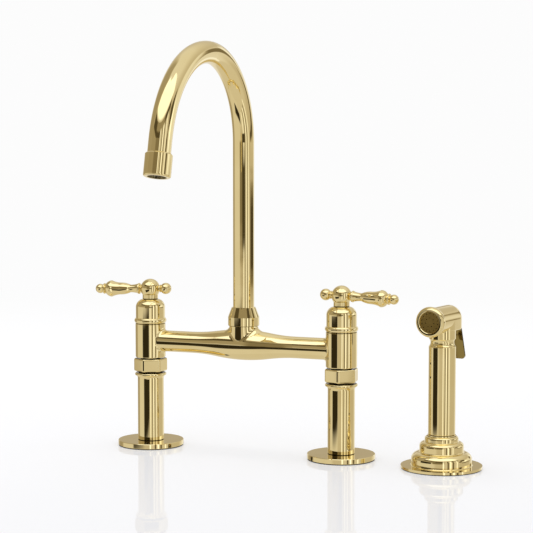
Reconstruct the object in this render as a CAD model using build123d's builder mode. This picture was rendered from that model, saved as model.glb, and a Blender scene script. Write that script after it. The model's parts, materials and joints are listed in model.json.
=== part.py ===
from build123d import *
from math import cos, radians, sin
import os

os.makedirs("parts", exist_ok=True)

# Bridge kitchen faucet with a side spray. Millimetres. The origin lies on the deck,
# midway between the two posts; +Z is up, +X runs from the hot to the cold side, and
# -Y points to the person at the sink. Radii are named radius, widths width.

# ---------------------------------------------------------------- driving dimensions

# layout
post_spacing = 203.2  # 8 in between the two deck holes
spray_spacing = 101.6  # 4 in from the cold post to the spray holder
spray_forward = 6.0  # the holder stands a little nearer the user than the posts
deck_thickness = 30.0  # worktop clamped between the flanges and the lock nuts

# fits
running_fit = 0.05  # radial, shaft in hole
thread_fit = 0.05  # radial, threads are plain cylinders at their major radius
loose_fit = 0.3  # between parts that only pass each other
disc_fit = 0.3  # ceramic discs in the cartridge

# flanges and gaskets
gasket_thickness = 0.8
gasket_inset = 0.5
flange_radius = 32.85
flange_thickness = 4.8
flange_bevel = 0.4

# posts
post_radius = 13.1
post_bore_radius = 8.5
post_height = 67.8
collar_bulge = 2.7  # the bead stands this much proud of the post
collar_height = 3.0
cove_height = 2.8
cove_sag = 0.25
collar_underside = 0.9  # radius that the cove gains
collar_topside = 1.6  # radius of the collar top over the thread
post_edge = 0.3

# supply shanks and their nuts under the deck
shank_radius = 12.0
shank_spigot_radius = 10.0
shank_spigot_length = 16.0
shank_bore_radius = 7.5
tail_radius = 10.48  # G 1/2 parallel pipe thread
tail_length = 18.0
tail_chamfer = 1.0
shank_thread_spare = 0.6  # thread left below the lock nut
rubber_washer_thickness = 2.4
steel_washer_thickness = 1.5
under_washer_radius = 22.0
lock_nut_width = 36.0
lock_nut_height = 8.0
lock_nut_crown = 1.2

# union between post and valve body
union_gap = 1.1
union_nut_height = 13.7
union_nut_wall = 2.4  # over the thread, at the flats
union_nut_crown = 2.0
union_shoulder = 2.1
union_thread_step = 0.7  # thread below the post's radius
union_washer_thickness = 1.6
hot_nut_turn = -32.9  # degrees, where one corner of the hexagon points
cold_nut_turn = -25.4
tail_flange_height = 3.6
tail_neck_radius = 10.0
tail_bore_radius = 7.5

# bridge body
body_gap = 0.5
body_radius = 15.1
body_height = 34.1
body_foot_round = 1.2
body_rim_chamfer = 0.4
arm_rise = 17.0  # arm axis above the foot of the valve body
arm_radius = 10.5
arm_straight_end = 55.0  # the arms swell from here to the middle
belly_side = 0.8  # radius of the arms over the boss, at the middle
arm_round = 3.0
waterway_radius = 6.2
boss_shoulder = 1.1  # radius of the boss over its thread
boss_rise = 18.9
boss_round = 7.0
boss_thread_play = 0.6  # radius of the thread over the spigot's flange
boss_thread_height = 6.4
boss_wall = 3.35  # thread to bore
diverter_bore_step = 1.65  # the diverter's bore below the boss bore
diverter_floor_drop = 9.7  # below the arm axis
neck_wall = 2.1
neck_height = 4.2
valve_seat_rise = 7.3
valve_thread_step = 1.3  # radius of the thread over the chamber
valve_thread_depth = 10.8
inlet_radius = 5.5
inlet_length = 3.0

# valve cartridge
seal_thickness = 2.4
disc_radius = 7.4
disc_thickness = 3.0
disc_hole_radius = 1.9
disc_hole_offset = 3.8
seal_play = 0.6  # radial, seal in the chamber
seal_bore_step = 1.8  # the seal's bore below the disc's radius
cartridge_wall = 1.2
cartridge_hex_height = 4.0
gland_wall = 2.7
gland_height = 3.5
window_height = 3.2
window_width = 7.0
drive_plate_step = 0.6  # the plate below the disc's radius
drive_plate_thickness = 3.0
stem_radius = 4.5
broach_width = 5.6
broach_height = 9.0

# bonnet
bonnet_height = 24.6
bonnet_radius = 14.6
bonnet_foot_radius = 14.9
bead_radius = 16.05
bead_foot = 0.9
bead_height = 4.8
dome_radius = 8.2
bonnet_bore_height = 15.0
bonnet_inner_radius = 9.0
bonnet_crown = 3.0
bonnet_hole_play = 0.7  # radial, round the spindle

# handle
hub_gap = 0.3
hub_rise = 10.3  # ball centre above the top of the bonnet
hub_radius = 9.8
hub_neck_radius = 7.75
hub_face = 9.3  # flat seats for lever and finial, from the ball centre
spigot_radius = 2.6
spigot_start = 4.3
grub_radius = 1.5
grub_length = 3.4
grub_rise = 2.0  # above the foot of the hub
grub_socket_width = 1.5
grub_socket_depth = 1.4
lever_droop = 1.5  # degrees below level
lever_forward = 5.0  # degrees towards the user
lever_neck_radius = 3.0
ring_start = 10.4
ring_end = 13.2
ring_radius = 5.5
ring_foot_rise = 1.0  # step up to the ring, over the neck or the waist
waist_radius = 3.85
waist_at = 21.0
pear_radius = 8.2
pear_at = 41.2
pear_end = 47.4
tip_groove_radius = 3.9
tip_ring_start = 48.3
pear_end_radius = 4.6
tip_ring_radius = 5.4
tip_ring_width = 1.8
tip_ring_crown = 0.7
tip_neck_radius = 3.4
tip_ball_radius = 4.75
tip_ball_at = 54.0
finial_neck_radius = 2.9
finial_ring_radius = 3.9
finial_ring_crown = 0.4
finial_ring_start = 10.6
finial_ring_end = 11.6
finial_ball_radius = 5.65
finial_ball_at = 16.6

# spout
spout_nut_gap = 0.2
spout_nut_wall = 2.35
spout_nut_band = 8.6
spout_nut_cone = 9.5
spout_nut_lip = 1.3  # round the tube
spout_nut_bevel = 0.5
tube_radius = 10.4
tube_wall = 1.0
spigot_flange_step = 2.0  # radius over the tube, held under the nut
spigot_flange_height = 2.0
spigot_sleeve_height = 8.0
spigot_depth = 19.0  # below the top of the boss thread
spigot_bore_radius = 6.5
glide_ring_thickness = 0.6
o_ring_radius = 0.8
o_ring_groove_width = 2.0
o_ring_groove_depth = 1.6
o_ring_fit = 0.03
o_ring_drops = (8.0, 14.0)  # below the top of the boss thread
riser_rise = 172.5  # from the top of the boss thread to where the bend starts
crown_radius = 82.9
fall_radius = 104.4
fall_turn = 77.1  # degrees of the second bend
tip_straight = 11.4  # free tube between the bend and the aerator housing
spout_turn_start = 90.0  # degrees of the first bend

# aerator
housing_wall = 1.75  # over the tube
housing_length = 21.0
housing_top_bevel = 1.2
housing_lip_round = 1.4
housing_socket = 9.0
housing_lip_cover = 1.15  # the lip reaches this far under the aerator
housing_lip = 1.7
aerator_step = 0.65  # the aerator below the tube's radius
aerator_wall = 1.5
aerator_plate = 2.0
aerator_washer_thickness = 1.5
aerator_hole_radius = 0.9
aerator_rings = ((6, 3.4), (12, 6.2))  # holes and their circle radius

# diverter
diverter_height = 14.2
diverter_top_gap = 0.3
diverter_lip = 0.9
diverter_wall = 2.9
diverter_floor = 2.0
diverter_window_radius = 3.4
piston_height = 3.5
piston_rise = 10.0  # above the floor of the diverter body
spring_radius = 3.6
spring_wire_radius = 0.45
spring_turns = 5
piston_hole_radius = 0.9
piston_hole_circle = 3.0
piston_holes = 6

# spray holder
holder_gasket_inset = 0.5
holder_flange_rim = 9.7  # outside the lowest step
holder_flange_thickness = 2.3
step_sides = (15.2, 7.5, 2.6)  # radius of each step over the cradle
step_tops = (15.4, 25.2, 30.7)  # top of each rounded shoulder
shoulder_radii = (6.6, 4.0, 2.6)
step_fillet = 0.8
holder_wall = 3.0
cradle_rim = 0.5  # radius over the grip
cradle_groove = 0.6
cradle_groove_depth = 2.2
cradle_top = 31.8
cradle_wall = 2.7
holder_shank_wall = 2.0
holder_boss_wall = 2.0  # round the shank, under the steps
holder_shank_below = 14.0  # free thread under the lock nut
holder_nut_wall = 6.5  # over the shank, at the flats
liner_wall = 1.1
liner_bottom = 4.0
liner_lip_step = 0.9  # radius over the holder's bore
liner_lip_thickness = 1.0

# spray wand
cradle_play = 0.4  # radial, hose inlet in the liner
grip_gap = 0.3  # height of the wand above its cradle at rest
grip_radius = 12.7
grip_wall = 1.2
grip_length = 83.0
grip_foot_round = 0.7
grip_rim_round = 0.9
inlet_flange_thickness = 4.0
inlet_spigot_taper = 0.4
inlet_spigot_length = 16.0
nipple_radius = 6.5
nipple_length = 10.0
nipple_bore_radius = 4.4
face_turn = -98.0  # degrees, the way the spray face points, seen from above
head_plug_length = 8.0
waist_gap = 0.3
waist_height = 6.4
waist_foot_step = 0.5  # below the grip's radius
waist_depth = 1.1
head_neck_step = 0.3  # below the grip's radius
head_neck_height = 7.7
skirt_step = 2.5  # the skirt's height below the barrel's radius
skirt_round = 1.2
barrel_step = 0.2  # over the neck's radius
dome_step = 0.4  # centre of the rounded back behind the grip axis, over the barrel's radius
barrel_reach = 9.4  # the barrel's front over its radius
barrel_wall = 3.6
barrel_bore_back = 5.0
neck_bore_radius = 6.0
face_thread_step = 1.2  # below the barrel's radius
face_thread_length = 4.0
rim_bulge = 1.6  # over the barrel's radius
rim_reach = 8.5  # the ring's front before the barrel's
rim_widest_at = 5.0  # before the barrel's front
rim_cover = 1.4  # the ring covers this much of the face plate
rim_lip = 1.9
rim_lip_bevel = 0.5
rim_step = 0.2  # the ring starts this much proud of the barrel
face_plate_thickness = 2.2
face_hole_radius = 0.45
face_rings = ((7, 4.1), (14, 8.1))  # holes and their circle radius

# spray trigger
pivot_step = 6.0  # behind the centre of the rounded back, as are the next three
pivot_drop = 2.6  # below the barrel axis
pivot_radius = 1.5
pivot_pin_length = 18.0
trigger_web_width = 10.0
pocket_step = 1.5
pocket_rise = 1.0  # above the barrel axis
skirt_cut_step = 1.0
skirt_cut_rise = 6.5
trigger_eye_radius = 3.0
trigger_thickness = 2.2
trigger_top_step = 9.3
trigger_top_rise = 2.0  # above the foot of the skirt
trigger_lean = 7.1  # the tip stands this much behind the top
trigger_fall = 31.5  # height from the plate's top to its tip
trigger_top_width = 17.0
trigger_tip_width = 20.6
trigger_corner = 3.0
plunger_below = 3.0  # axis of the plunger below the foot of the skirt
plunger_radius = 1.6
plunger_head_radius = 4.2
plunger_head_thickness = 2.0
plunger_gap = 0.3
valve_bore_radius = 4.6
valve_bore_back = 4.0
valve_bore_front = 8.5
valve_spring_radius = 3.3
valve_spring_wire_radius = 0.4
valve_spring_turns = 5

# ---------------------------------------------------------------- radii that follow

collar_radius = post_radius + collar_bulge
union_thread_radius = post_radius - union_thread_step
union_nut_width = 2 * (union_thread_radius + union_nut_wall)
tail_flange_radius = union_thread_radius - loose_fit

valve_chamber_radius = disc_radius + disc_fit + cartridge_wall + loose_fit
valve_thread_radius = valve_chamber_radius + valve_thread_step
neck_radius = valve_thread_radius + neck_wall
seal_radius = valve_chamber_radius - seal_play
seal_bore_radius = disc_radius - seal_bore_step
drive_plate_radius = disc_radius - drive_plate_step
cartridge_hex_width = 2 * valve_thread_radius
gland_radius = stem_radius + gland_wall
bonnet_hole_radius = stem_radius + bonnet_hole_play

tube_bore_radius = tube_radius - tube_wall
spigot_flange_radius = tube_radius + spigot_flange_step
spout_nut_top_radius = tube_radius + spout_nut_lip
boss_thread_radius = spigot_flange_radius + boss_thread_play
boss_radius = boss_thread_radius + boss_shoulder
belly_radius = boss_radius + belly_side
spout_nut_radius = boss_thread_radius + spout_nut_wall
boss_bore_radius = boss_thread_radius - boss_wall
diverter_bore_radius = boss_bore_radius - diverter_bore_step
aerator_radius = tube_radius - aerator_step
housing_radius = tube_radius + thread_fit + housing_wall
housing_lip_radius = aerator_radius - housing_lip_cover

cradle_radius = grip_radius + cradle_rim
step_radii = [cradle_radius + side for side in step_sides]
holder_flange_radius = step_radii[0] + holder_flange_rim
holder_bore_radius = cradle_radius - cradle_wall
holder_shank_radius = holder_bore_radius + holder_shank_wall
holder_nut_width = 2 * (holder_shank_radius + holder_nut_wall)
holder_shank_boss = holder_shank_radius + holder_boss_wall
liner_radius = holder_bore_radius - liner_wall
liner_lip_radius = holder_bore_radius + liner_lip_step
waist_foot_radius = grip_radius - waist_foot_step
waist_radius_least = waist_foot_radius - waist_depth
head_neck_radius = grip_radius - head_neck_step
barrel_radius = head_neck_radius + barrel_step
skirt_height = barrel_radius - skirt_step
trigger_top_drop = skirt_height - trigger_top_rise  # below the barrel axis
plunger_drop = skirt_height + plunger_below
barrel_front = barrel_radius + barrel_reach
barrel_bore_radius = barrel_radius - barrel_wall
face_thread_radius = barrel_radius - face_thread_step
rim_radius = barrel_radius + rim_bulge
rim_front = barrel_front + rim_reach
rim_widest = barrel_front + rim_widest_at
rim_opening_radius = face_thread_radius - rim_cover

dome_back = barrel_radius + dome_step  # behind the grip axis, as are the next four
pivot_back = dome_back + pivot_step
pocket_front = dome_back + pocket_step
skirt_cut_start = dome_back + skirt_cut_step
trigger_top_back = dome_back + trigger_top_step

# ---------------------------------------------------------------- heights that follow

hot_x = -post_spacing / 2
cold_x = post_spacing / 2
spray_x = cold_x + spray_spacing
spray_y = -spray_forward

flange_top = gasket_thickness + flange_thickness
collar_top = flange_top + post_height
union_nut_bottom = collar_top + union_gap
union_nut_top = union_nut_bottom + union_nut_height
tail_flange_top = union_nut_top - union_shoulder
tail_flange_bottom = tail_flange_top - tail_flange_height
union_washer_bottom = tail_flange_bottom - union_washer_thickness
body_bottom = union_nut_top + body_gap
body_top = body_bottom + body_height
arm_z = body_bottom + arm_rise
boss_top = arm_z + boss_rise
boss_thread_top = boss_top + boss_thread_height
riser_top = boss_thread_top + riser_rise
neck_top = body_top + neck_height
seat_z = body_bottom + valve_seat_rise
thread_floor = body_top - valve_thread_depth
bonnet_top = body_top + bonnet_height
hub_z = bonnet_top + hub_rise
hub_bottom = bonnet_top + hub_gap

steel_washer_top = -deck_thickness - rubber_washer_thickness
lock_nut_top = steel_washer_top - steel_washer_thickness
lock_nut_bottom = lock_nut_top - lock_nut_height
shank_end = lock_nut_bottom - shank_thread_spare
tail_end = shank_end - tail_length

sides = (("hot", hot_x, -1, hot_nut_turn), ("cold", cold_x, 1, cold_nut_turn))


def write(piece, label):
    """Name a finished piece and write it to its own file."""
    piece.part.label = label
    export_step(piece.part, f"parts/{label}.step")


def upright(x, y=0.0):
    """Plane for a turned profile: local x is the radius, local y the height."""
    return Plane(origin=(x, y, 0), x_dir=(1, 0, 0), z_dir=(0, -1, 0))


def upright_axis(x, y=0.0):
    return Axis((x, y, 0), (0, 0, 1))


def ring(x, y, bottom, height, outer, inner):
    """Flat ring standing on the vertical axis at x, y."""
    with BuildPart() as piece:
        with BuildSketch(Plane(origin=(x, y, bottom))):
            Circle(outer)
            Circle(inner, mode=Mode.SUBTRACT)
        extrude(amount=height)
    return piece


def turned(x, y, outline):
    """Solid turned about the vertical axis at x, y from straight outline points."""
    with BuildPart() as piece:
        with BuildSketch(upright(x, y)):
            with BuildLine():
                Polyline(*outline, close=True)
            make_face()
        revolve(axis=upright_axis(x, y))
    return piece


def hex_nut(x, y, bottom, height, width, bore, turn, crown):
    """Hexagon nut whose corners are rounded off towards both faces."""
    with BuildPart() as nut:
        with BuildSketch(Plane(origin=(x, y, bottom))):
            RegularPolygon(width / 2, 6, major_radius=False, rotation=turn)
        extrude(amount=height)
        corner = width / 2 / cos(radians(30))
        with BuildSketch(upright(x, y)):
            with BuildLine():
                low = (0, bottom)
                high = (0, bottom + height)
                Line(low, (corner - crown, bottom))
                RadiusArc((corner - crown, bottom), (corner, bottom + crown), -crown)
                Line((corner, bottom + crown), (corner, bottom + height - crown))
                RadiusArc(
                    (corner, bottom + height - crown),
                    (corner - crown, bottom + height),
                    -crown,
                )
                Line((corner - crown, bottom + height), high)
                Line(high, low)
            make_face()
        revolve(axis=upright_axis(x, y), mode=Mode.INTERSECT)
        with BuildSketch(Plane(origin=(x, y, bottom))):
            Circle(bore)
        extrude(amount=height, mode=Mode.SUBTRACT)
    return nut


# ---------------------------------------------------------------- deck pieces

for name, x, way, nut_turn in sides:
    gasket = ring(
        x,
        0,
        0,
        gasket_thickness,
        flange_radius - gasket_inset,
        shank_radius + loose_fit,
    )
    write(gasket, f"{name}_deck_gasket")

    with BuildPart() as flange:
        with BuildSketch(Plane(origin=(x, 0, gasket_thickness))):
            Circle(flange_radius)
            Circle(shank_radius + loose_fit, mode=Mode.SUBTRACT)
        extrude(amount=flange_thickness)
        rims = flange.edges().filter_by(GeomType.CIRCLE)
        chamfer(rims.sort_by(SortBy.RADIUS)[-2:], flange_bevel)
    write(flange, f"{name}_flange")

    shank = turned(
        x,
        0,
        (
            (shank_bore_radius, tail_end),
            (tail_radius - tail_chamfer, tail_end),
            (tail_radius, tail_end + tail_chamfer),
            (tail_radius, shank_end),
            (shank_radius, shank_end),
            (shank_radius, flange_top),
            (shank_spigot_radius, flange_top),
            (shank_spigot_radius, flange_top + shank_spigot_length),
            (shank_bore_radius, flange_top + shank_spigot_length),
        ),
    )
    write(shank, f"{name}_shank")

# the washers and nuts under the deck are alike on both sides
with BuildPart() as rubber_washers:
    with BuildSketch(Plane.XY.offset(-deck_thickness)):
        with Locations((hot_x, 0), (cold_x, 0)):
            Circle(under_washer_radius)
            Circle(shank_radius + loose_fit, mode=Mode.SUBTRACT)
    extrude(amount=-rubber_washer_thickness)
write(rubber_washers, "shank_rubber_washers")

with BuildPart() as steel_washers:
    with BuildSketch(Plane.XY.offset(steel_washer_top)):
        with Locations((hot_x, 0), (cold_x, 0)):
            Circle(under_washer_radius)
            Circle(shank_radius + loose_fit, mode=Mode.SUBTRACT)
    extrude(amount=-steel_washer_thickness)
write(steel_washers, "shank_steel_washers")

lock_nut_sizes = (lock_nut_height, lock_nut_width, shank_radius + thread_fit, 0, lock_nut_crown)
lock_nut_pair = [hex_nut(x, 0, lock_nut_bottom, *lock_nut_sizes) for x in (hot_x, cold_x)]
with BuildPart() as lock_nuts:
    for nut in lock_nut_pair:
        add(nut.part)
write(lock_nuts, "shank_lock_nuts")

# ---------------------------------------------------------------- posts and unions

for name, x, way, nut_turn in sides:
    with BuildPart() as post:
        with BuildSketch(upright(x)):
            with BuildLine():
                spigot_top = flange_top + shank_spigot_length
                spigot_hole = shank_spigot_radius + thread_fit
                cove_start = collar_top - collar_height - cove_height
                bead_low = (post_radius + collar_underside, collar_top - collar_height)
                bead_high = (union_thread_radius + collar_topside, collar_top)
                Polyline(
                    bead_high,
                    (union_thread_radius, collar_top),
                    (union_thread_radius, union_washer_bottom),
                    (post_bore_radius, union_washer_bottom),
                    (post_bore_radius, spigot_top),
                    (spigot_hole, spigot_top),
                    (spigot_hole, flange_top),
                    (post_radius - post_edge, flange_top),
                    (post_radius, flange_top + post_edge),
                    (post_radius, cove_start),
                )
                ThreePointArc(
                    (post_radius, cove_start),
                    (post_radius + cove_sag, cove_start + cove_height / 2),
                    bead_low,
                )
                ThreePointArc(
                    bead_low,
                    (collar_radius, collar_top - collar_height / 2),
                    bead_high,
                )
            make_face()
        revolve(axis=upright_axis(x))
    write(post, f"{name}_post")

    washer = ring(
        x,
        0,
        union_washer_bottom,
        union_washer_thickness,
        union_thread_radius - loose_fit,
        post_bore_radius,
    )
    write(washer, f"{name}_union_washer")

    nut_hole = tail_neck_radius + loose_fit
    nut_sizes = (union_nut_height, union_nut_width, nut_hole, nut_turn, union_nut_crown)
    blank = hex_nut(x, 0, union_nut_bottom, *nut_sizes)
    with BuildPart() as union_nut:
        add(blank.part)
        with BuildSketch(Plane(origin=(x, 0, union_nut_bottom))):
            Circle(union_thread_radius + thread_fit)
        extrude(amount=union_nut_height - union_shoulder, mode=Mode.SUBTRACT)
    write(union_nut, f"{name}_union_nut")

# ---------------------------------------------------------------- bridge body

arm_plane = Plane(origin=(0, 0, arm_z), x_dir=(1, 0, 0), z_dir=(0, -1, 0))
arm_axis = Axis((0, 0, arm_z), (1, 0, 0))
swell = (arm_radius + belly_radius) / 2
swell_middle = arm_straight_end / 2
swell_rise = belly_radius - arm_radius
swell_bend = (arm_straight_end**2 + swell_rise**2) / (4 * swell_rise)

inlet_bottom = seat_z - inlet_length
diverter_bottom = arm_z - diverter_floor_drop
diverter_top = diverter_bottom + diverter_height
diverter_ceiling = diverter_top + diverter_top_gap


def valve_barrel(x):
    """Plain body of one valve, rounded at its foot and broken at its top edge."""
    with BuildPart() as barrel:
        with BuildSketch(Plane(origin=(x, 0, body_bottom))):
            Circle(body_radius)
        extrude(amount=body_height)
        rims = barrel.edges().filter_by(GeomType.CIRCLE).sort_by(Axis.Z)
        fillet(rims[0], body_foot_round)
        rims = barrel.edges().filter_by(GeomType.CIRCLE).sort_by(Axis.Z)
        chamfer(rims[-1], body_rim_chamfer)
    return barrel


valve_barrels = [valve_barrel(x) for x in (hot_x, cold_x)]

with BuildPart() as bridge:
    # the arms: one bar turned about its length, swelling towards the middle
    with BuildSketch(arm_plane):
        with BuildLine():
            Polyline(
                (-arm_straight_end, arm_radius),
                (hot_x, arm_radius),
                (hot_x, 0),
                (cold_x, 0),
                (cold_x, arm_radius),
                (arm_straight_end, arm_radius),
            )
            for way in (-1, 1):
                foot = (way * arm_straight_end, arm_radius)
                middle = (way * swell_middle, swell)
                RadiusArc(foot, middle, way * swell_bend)
                RadiusArc(middle, (0, belly_radius), -way * swell_bend)
        make_face()
    revolve(axis=arm_axis)
    # the centre boss
    with BuildSketch(Plane.XY.offset(arm_z)):
        Circle(boss_radius)
    extrude(amount=boss_rise)
    crossing = bridge.edges().filter_by(
        lambda e: e.geom_type not in (GeomType.LINE, GeomType.CIRCLE)
    )
    fillet(crossing, boss_round)
    # the valve bodies
    for barrel in valve_barrels:
        add(barrel.part)
    roots = bridge.edges().filter_by(
        lambda e: e.geom_type not in (GeomType.LINE, GeomType.CIRCLE)
        and abs(e.center().X) > arm_straight_end
    )
    fillet(roots, arm_round)
    # tail, thread seat and waterways of each valve
    for name, x, way, nut_turn in sides:
        for bottom, top, radius in (
            (tail_flange_top, body_bottom, tail_neck_radius),
            (tail_flange_bottom, tail_flange_top, tail_flange_radius),
            (body_top, neck_top, neck_radius),
        ):
            with BuildSketch(Plane(origin=(x, 0, bottom))):
                Circle(radius)
            extrude(amount=top - bottom)
        for bottom, top, radius in (
            (tail_flange_bottom, inlet_bottom, tail_bore_radius),
            (inlet_bottom, seat_z, inlet_radius),
            (seat_z, thread_floor, valve_chamber_radius),
            (thread_floor, neck_top, valve_thread_radius),
        ):
            with BuildSketch(Plane(origin=(x, 0, bottom))):
                Circle(radius)
            extrude(amount=top - bottom, mode=Mode.SUBTRACT)
    # the boss: spout thread, spout bore and diverter chamber
    with BuildSketch(Plane.XY.offset(boss_top)):
        Circle(boss_thread_radius)
    extrude(amount=boss_thread_height)
    with BuildSketch(Plane.XY.offset(diverter_ceiling)):
        Circle(boss_bore_radius)
    extrude(amount=boss_thread_top - diverter_ceiling, mode=Mode.SUBTRACT)
    with BuildSketch(Plane.XY.offset(diverter_bottom)):
        Circle(diverter_bore_radius)
    extrude(amount=diverter_ceiling - diverter_bottom, mode=Mode.SUBTRACT)
    # the waterway through both arms
    with BuildSketch(Plane(origin=(hot_x, 0, arm_z), x_dir=(0, 1, 0), z_dir=(1, 0, 0))):
        Circle(waterway_radius)
    extrude(amount=post_spacing, mode=Mode.SUBTRACT)
write(bridge, "bridge_body")

# ---------------------------------------------------------------- valves

seal_top = seat_z + seal_thickness
fixed_disc_top = seal_top + disc_thickness
moving_disc_top = fixed_disc_top + disc_thickness
drive_top = moving_disc_top + drive_plate_thickness
cavity_top = drive_top + loose_fit
cavity_radius = disc_radius + disc_fit
hex_top = neck_top + cartridge_hex_height
gland_top = hex_top + gland_height

for name, x, way, nut_turn in sides:
    seal = ring(x, 0, seat_z, seal_thickness, seal_radius, seal_bore_radius)
    write(seal, f"{name}_seat_seal")

    for label, bottom in (("fixed_disc", seal_top), ("moving_disc", fixed_disc_top)):
        with BuildPart() as disc:
            with BuildSketch(Plane(origin=(x, 0, bottom))):
                Circle(disc_radius)
                with Locations((0, disc_hole_offset), (0, -disc_hole_offset)):
                    Circle(disc_hole_radius, mode=Mode.SUBTRACT)
            extrude(amount=disc_thickness)
        write(disc, f"{name}_{label}")

    with BuildPart() as cartridge:
        for bottom, top, radius in (
            (seal_top, thread_floor + loose_fit, valve_chamber_radius - loose_fit),
            (thread_floor + loose_fit, neck_top, valve_thread_radius - thread_fit),
            (hex_top, gland_top, gland_radius),
        ):
            with BuildSketch(Plane(origin=(x, 0, bottom))):
                Circle(radius)
            extrude(amount=top - bottom)
        with BuildSketch(Plane(origin=(x, 0, neck_top))):
            RegularPolygon(cartridge_hex_width / 2, 6, major_radius=False)
        extrude(amount=cartridge_hex_height)
        with BuildSketch(Plane(origin=(x, 0, seal_top))):
            Circle(cavity_radius)
        extrude(amount=cavity_top - seal_top, mode=Mode.SUBTRACT)
        with BuildSketch(Plane(origin=(x, 0, cavity_top))):
            Circle(stem_radius + running_fit)
        extrude(amount=gland_top - cavity_top, mode=Mode.SUBTRACT)
        # two windows let the water out sideways, level with the arm
        with BuildSketch(Plane(origin=(x, 0, arm_z), x_dir=(0, 1, 0), z_dir=(1, 0, 0))):
            Rectangle(window_width, window_height)
        extrude(amount=valve_chamber_radius, both=True, mode=Mode.SUBTRACT)
    write(cartridge, f"{name}_cartridge_body")

    with BuildPart() as spindle:
        for bottom, top, radius in (
            (moving_disc_top, drive_top, drive_plate_radius),
            (drive_top, hub_bottom, stem_radius),
        ):
            with BuildSketch(Plane(origin=(x, 0, bottom))):
                Circle(radius)
            extrude(amount=top - bottom)
        with BuildSketch(Plane(origin=(x, 0, hub_bottom))):
            Rectangle(broach_width, broach_width)
        extrude(amount=broach_height)
    write(spindle, f"{name}_spindle")

# ---------------------------------------------------------------- bonnets

for name, x, way, nut_turn in sides:
    with BuildPart() as bonnet:
        with BuildSketch(upright(x)):
            with BuildLine():
                bead_low = (bonnet_foot_radius, body_top + bead_foot)
                bead_high = (bonnet_radius, body_top + bead_foot + bead_height)
                dome_foot = (bonnet_radius, bonnet_top - dome_radius)
                dome_tip = (bonnet_radius - dome_radius, bonnet_top)
                Line((bonnet_foot_radius, body_top), bead_low)
                ThreePointArc(
                    bead_low,
                    (bead_radius, body_top + bead_foot + bead_height / 2),
                    bead_high,
                )
                Line(bead_high, dome_foot)
                RadiusArc(dome_foot, dome_tip, -dome_radius)
                Polyline(
                    dome_tip,
                    (bonnet_hole_radius, bonnet_top),
                    (bonnet_hole_radius, bonnet_top - bonnet_crown),
                    (bonnet_inner_radius, bonnet_top - bonnet_crown),
                    (bonnet_inner_radius, body_top + bonnet_bore_height),
                    (neck_radius + thread_fit, body_top + bonnet_bore_height),
                    (neck_radius + thread_fit, body_top),
                    (bonnet_foot_radius, body_top),
                )
            make_face()
        revolve(axis=upright_axis(x))
    write(bonnet, f"{name}_bonnet")

# ---------------------------------------------------------------- handles


def handle_direction(way):
    """Unit vector from the hub along the lever: outward, forward and a little down."""
    level = cos(radians(lever_droop))
    return Vector(
        way * level * cos(radians(lever_forward)),
        -level * sin(radians(lever_forward)),
        -sin(radians(lever_droop)),
    )


def handle_plane(x, along):
    """Plane whose local x runs along the lever; local y is the turning radius."""
    level_side = Vector(0, 0, 1).cross(along)
    return Plane(origin=(x, 0, hub_z), x_dir=along, z_dir=level_side)


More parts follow.
